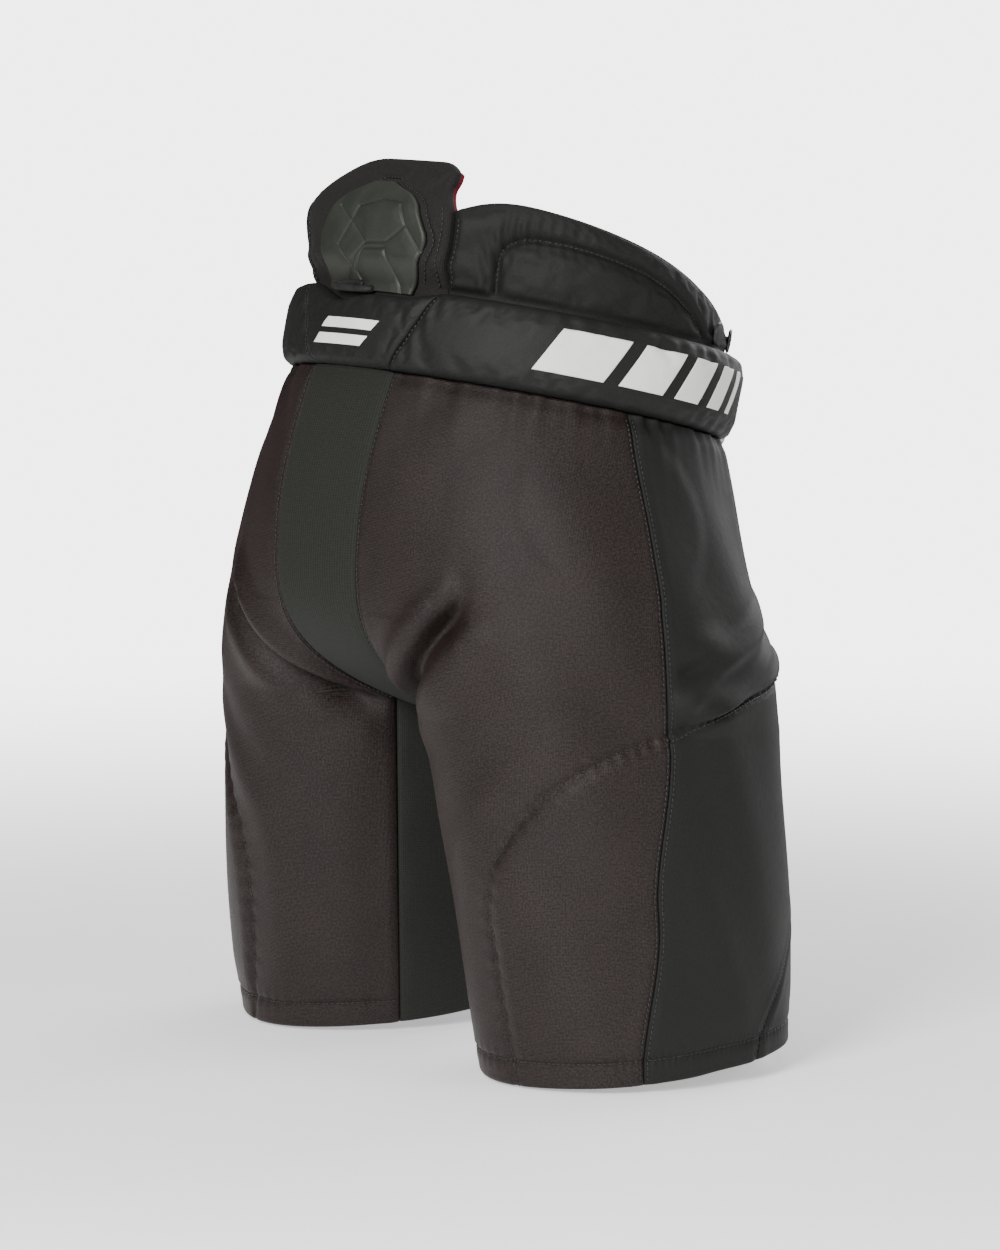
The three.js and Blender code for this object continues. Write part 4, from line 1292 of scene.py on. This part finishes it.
# %% Rear lace
def smooth_path(points, count):
    """A Catmull-Rom curve through the points, at evenly spaced places."""
    p = np.concatenate([[2 * points[0] - points[1]], points, [2 * points[-1] - points[-2]]])
    t = np.linspace(0, len(points) - 1.0001, 8 * count)
    i, u = t.astype(int), (t % 1)[:, None]
    a, b, c, d = p[i], p[i + 1], p[i + 2], p[i + 3]
    square, cube = 2 * a - 5 * b + 4 * c - d, 3 * b - a - 3 * c + d
    fine = 0.5 * (2 * b + (c - a) * u + square * u**2 + cube * u**3)
    run = steps(fine[None], 1)[0]
    even = np.linspace(0, run[-1], count)
    return np.stack([np.interp(even, run, fine[:, k]) for k in range(3)], -1)


def tube(name, path, radius, finish):
    """A tube of that radius (an array: places by sides) along a path, with closed ends."""
    sides = radius.shape[1]
    ahead = unit(np.gradient(path, axis=0))
    side_way = unit(np.cross(ahead, [0, 0, 1]))
    skin = path[:, None] + ring_round(side_way, np.cross(side_way, ahead), sides) * radius[..., None]
    points = np.concatenate([skin.reshape(-1, 3), path[[0, -1]]]) * MM
    j, i = np.meshgrid(np.arange(len(path) - 1), np.arange(sides), indexing="ij")
    k = (i + 1) % sides
    walls = np.stack([j * sides + i, j * sides + k, (j + 1) * sides + k, (j + 1) * sides + i], -1)
    two = np.arange(0, sides, 2)
    last, count = (len(path) - 1) * sides, len(path) * sides
    first_cap = np.stack([0 * two + count, (two + 2) % sides, two + 1, two], -1)
    last_cap = np.stack([0 * two + count + 1, last + two, last + two + 1, last + (two + 2) % sides], -1)
    faces = np.concatenate([walls.reshape(-1, 4), first_cap, last_cap])
    if inside_out(points, faces):
        faces = faces[:, ::-1]
    girth = 2 * np.pi * np.arange(sides) / sides * LACE_RADIUS * MM
    around = np.stack(np.meshgrid(girth, steps(path[None], 1)[0] * MM), -1).reshape(-1, 2)
    return put_mesh(name, points, faces, [finish], np.concatenate([around, [[0, 0], [0, 0]]]))


LACE = np.array([
    (-5, 132.3, 25.6), (-7, 134.6, 24.8), (-2, 137.4, 24.2), (8, 138.5, 24), (19, 138, 24),
    (29, 136.2, 24.4), (33, 133.4, 25.6), (29, 131.4, 27.6), (20, 132, 28.6), (10, 132.4, 28.6),
    (4, 132.7, 27.8),
])
LACE_RADIUS = 2.5
route = waist_to_row(smooth_path(LACE, 140))
turn = 2 * np.pi * np.arange(16)[None] / 16
travel = steps(route[None], 1)[0][:, None]
braid = np.abs(np.sin(2 * turn + travel * 1.1)) + np.abs(np.sin(2 * turn - travel * 1.1))
lace = tube("lace_loop", route, LACE_RADIUS - 0.45 + 0.32 * braid, cord_finish)
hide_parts("rear_lace")
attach(lace, "seat")

# %% [markdown]
# ## Stitches
# Thread shows along most seams. Each stitch is a small rounded bar of 24 faces, half sunk in
# the cloth, and a row of them follows a line on the surface.


# %% One row of stitches
STITCH_PITCH, STITCH_LENGTH, STITCH_RADIUS = 3.6, 2.7, 0.6
STITCH_RINGS = ((-0.5, 0.35), (-0.36, 1), (0.36, 1), (0.5, 0.35))  # place and fatness of each ring


def stitch_faces():
    """The faces of one stitch: three bands of six, and two caps of three."""
    bands = [
        (j * 6 + i, j * 6 + (i + 1) % 6, (j + 1) * 6 + (i + 1) % 6, (j + 1) * 6 + i)
        for j in range(3) for i in range(6)
    ]
    caps = [(24, (i + 2) % 6, i + 1, i) for i in (0, 2, 4)]
    caps += [(25, 18 + i, 18 + i + 1, 18 + (i + 2) % 6) for i in (0, 2, 4)]
    return np.array(bands + caps)


STITCH_FACES = stitch_faces()


def stitch_points(line):
    """The points of the stitches along a line: stitches by 26 points, in millimetres."""
    run = steps(line[None], 1)[0]
    places = np.arange(STITCH_PITCH / 2, run[-1] - STITCH_PITCH / 2, STITCH_PITCH)

    def at(share):
        """Each stitch's middle moved that share of its length along the line."""
        moved = places + share * STITCH_LENGTH
        return np.stack([np.interp(moved, run, line[:, k]) for k in range(3)], -1)

    ahead = unit(at(0.5) - at(-0.5))
    side_way = unit(np.cross(ahead, [0.3, 0.2, 1.0]))
    ring = ring_round(side_way, np.cross(side_way, ahead), 6) * STITCH_RADIUS
    rings = [at(share)[:, None] + ring * fat for share, fat in STITCH_RINGS]
    return np.concatenate(rings + [np.stack([at(-0.52), at(0.52)], 1)], 1)


def sew(name, lines):
    """A mesh of all the stitches of some lines."""
    points = np.concatenate([stitch_points(line) for line in lines])
    faces = (STITCH_FACES[None] + 26 * np.arange(len(points))[:, None, None]).reshape(-1, 4)
    if inside_out(points[0] - points[0].mean(0), STITCH_FACES):
        faces = faces[:, ::-1]
    made = put_mesh(name, points.reshape(-1, 3) * MM, faces, [thread])
    return made


# %% Stitches on seat and legs
STITCH_LIFT = 0.12  # how far a stitch's middle lies above the cloth


def stretch(s, z):
    """Millimetres of cloth for one unit of s at a place."""
    return np.linalg.norm(cloth(s + 0.002, z) - cloth(s - 0.002, z), axis=-1) / 0.004


def on_cloth(s, z):
    """Points on the relief of the panels, at s and z."""
    seams = np.stack([np.abs(s - side_seam(z)), np.abs(s - front_seam(z)), 1 - np.abs(s)])
    edge = seams.min(0) * stretch(s, z)
    roll = edge_roll(edge, SEAM_ROLL) + edge_roll(z - HEM, HEM_ROLL)
    depth = relief(s, z) + seam_dip(edge) + roll - STITCH_LIFT
    return cloth(s, z) - cloth_out(s, z) * depth[..., None]


def beside(seam, z, gap):
    """A line beside a seam, gap millimetres along the cloth from it."""
    s = seam(z)
    return on_cloth(s + gap / stretch(s, z), z)


def follow(knots):
    """A sewn line through s, z knots."""
    pts = np.array(knots, float)
    run = steps((pts * [ACROSS, 1])[None], 1)[0]
    even = np.linspace(0, run[-1], 400)
    return on_cloth(np.interp(even, run, pts[:, 0]), np.interp(even, run, pts[:, 1]))


def round_hem(low, high):
    """The hem's line of stitches between two places round the leg."""
    s = np.linspace(low, high, 500)
    return on_cloth(s, HEM_STITCH + 0 * s)


z = np.linspace(TOP - 3, HEM + 2, 600)
side_at_hem = side_seam(HEM_STITCH)
hem_rows = [round_hem(-0.995, side_at_hem - 0.012), round_hem(side_at_hem + 0.012, 0.995)]
seat_rows = [
    beside(side_seam, z, -2.6), beside(side_seam, z, 2.6), beside(front_seam, z, -2.6),
    beside(back_edge, z[z > CROTCH], 2.6), follow(POCKET_LINE), follow(GROIN_LINE),
]
for side, sign in SIDES.items():
    rows = [on_side(line, sign) for line in seat_rows + hem_rows]
    stitches = sew(f"panel_stitches_{side}", rows)
    swing(stitches)

# %% Stitches on belt, spine pad and kidney pads
height = np.linspace(30, CAP_TOP, 249)
around_cap = np.concatenate([
    np.stack([cap_edge(height, CAP_LEFT) + 4.4, height], -1),
    np.stack([np.linspace(2.4, -14.4, 20), np.full(20, CAP_TOP + 3.6)], -1),
    np.stack([cap_edge(height, CAP_RIGHT) - 4.4, height], -1)[::-1],
])
beside_kidney = np.linspace(31, 84, 100)
seam_x = 4.0 - along(SPINE_EDGES["right"], beside_kidney)
spine_rows = [
    spine_point(around_cap[:, 0], around_cap[:, 1], 1.7), spine_point(seam_x, beside_kidney, 1.6)
]
spine_stitches = sew("spine_stitches", spine_rows)
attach(spine_stitches, "spine")


def kidney_line(angle, height, side):
    """Points on the kidney pad's relief."""
    out, _, end, _ = kidney_surface(angle, height, side)
    return kidney_point(angle, height, out + 0.15) + flush(height, end, side)


channel = smooth_path(np.array([(a * AROUND, h, 0) for a, h in CHANNEL if h > 29]), 300)
up = np.linspace(31, 80, 100)
for side, sign in SIDES.items():
    rows = [
        kidney_line(channel[:, 0] / AROUND, channel[:, 1], side),
        kidney_line(kidney_start(up, side) + 4 / AROUND, up, side),
    ]
    stitches = sew(f"kidney_stitches_{side}", [on_side(line, sign) for line in rows])
    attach(stitches, "seat")
level = np.linspace(BELT_HALF - 3, 3 - BELT_HALF, 120)
seam_line = belt_skin(side_outer, *side_ends, belt_seam(level) + 1.1, level, 0.2)
belt_stitches = sew("belt_stitches", [seam_line, on_side(seam_line, -1)])
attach(belt_stitches, "seat")
print("stitches sewn")

# %% [markdown]
# ## Plain marks on the belt
# The belt carries printed white marks. These are plain slanted bars that get narrower towards
# the front, each a thin patch that follows the belt between four corners.


# %% Marks
def mark(name, corners, outer, ends, sign=1):
    """A printed patch between four (angle, height) corners on a finished belt piece."""
    u, v = np.meshgrid(np.linspace(0, 1, 60), np.linspace(0, 1, 24))
    a, b, c, d = np.array(corners, float)
    place = lerp(lerp(a, b, u[..., None]), lerp(d, c, u[..., None]), v[..., None])
    angle, level = place[..., 0], place[..., 1]
    face, back = (belt_skin(outer, *ends, angle, level, lift) for lift in (0.35, -0.5))
    made = closed_skin(name, on_side(face, sign), on_side(back, sign), [white_print, white_print])
    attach(made, "seat")


def bar(low, high, top_edge, foot, slant):
    """The corners of a bar between two angles, its top moved ahead by slant degrees."""
    return [(low + slant, top_edge), (high + slant, top_edge), (high - slant, foot), (low - slant, foot)]


BARS = ((55, 73), (77, 90), (94, 103), (107, 113), (117, 120))
for side, sign in SIDES.items():
    for number, (low, high) in enumerate(BARS, 1):
        mark(f"belt_bar_{number}_{side}", bar(low, high, 17, -13, 3.0), side_outer, side_ends, sign)
mark("back_bar_upper", bar(-10, 8, 3, -4, -1.0), back_outer, back_ends)
mark("back_bar_lower", bar(-7.4, 10.6, -8, -15, -1.0), back_outer, back_ends)
print("marks made")

# %% Close the script
bpy.context.view_layer.update()
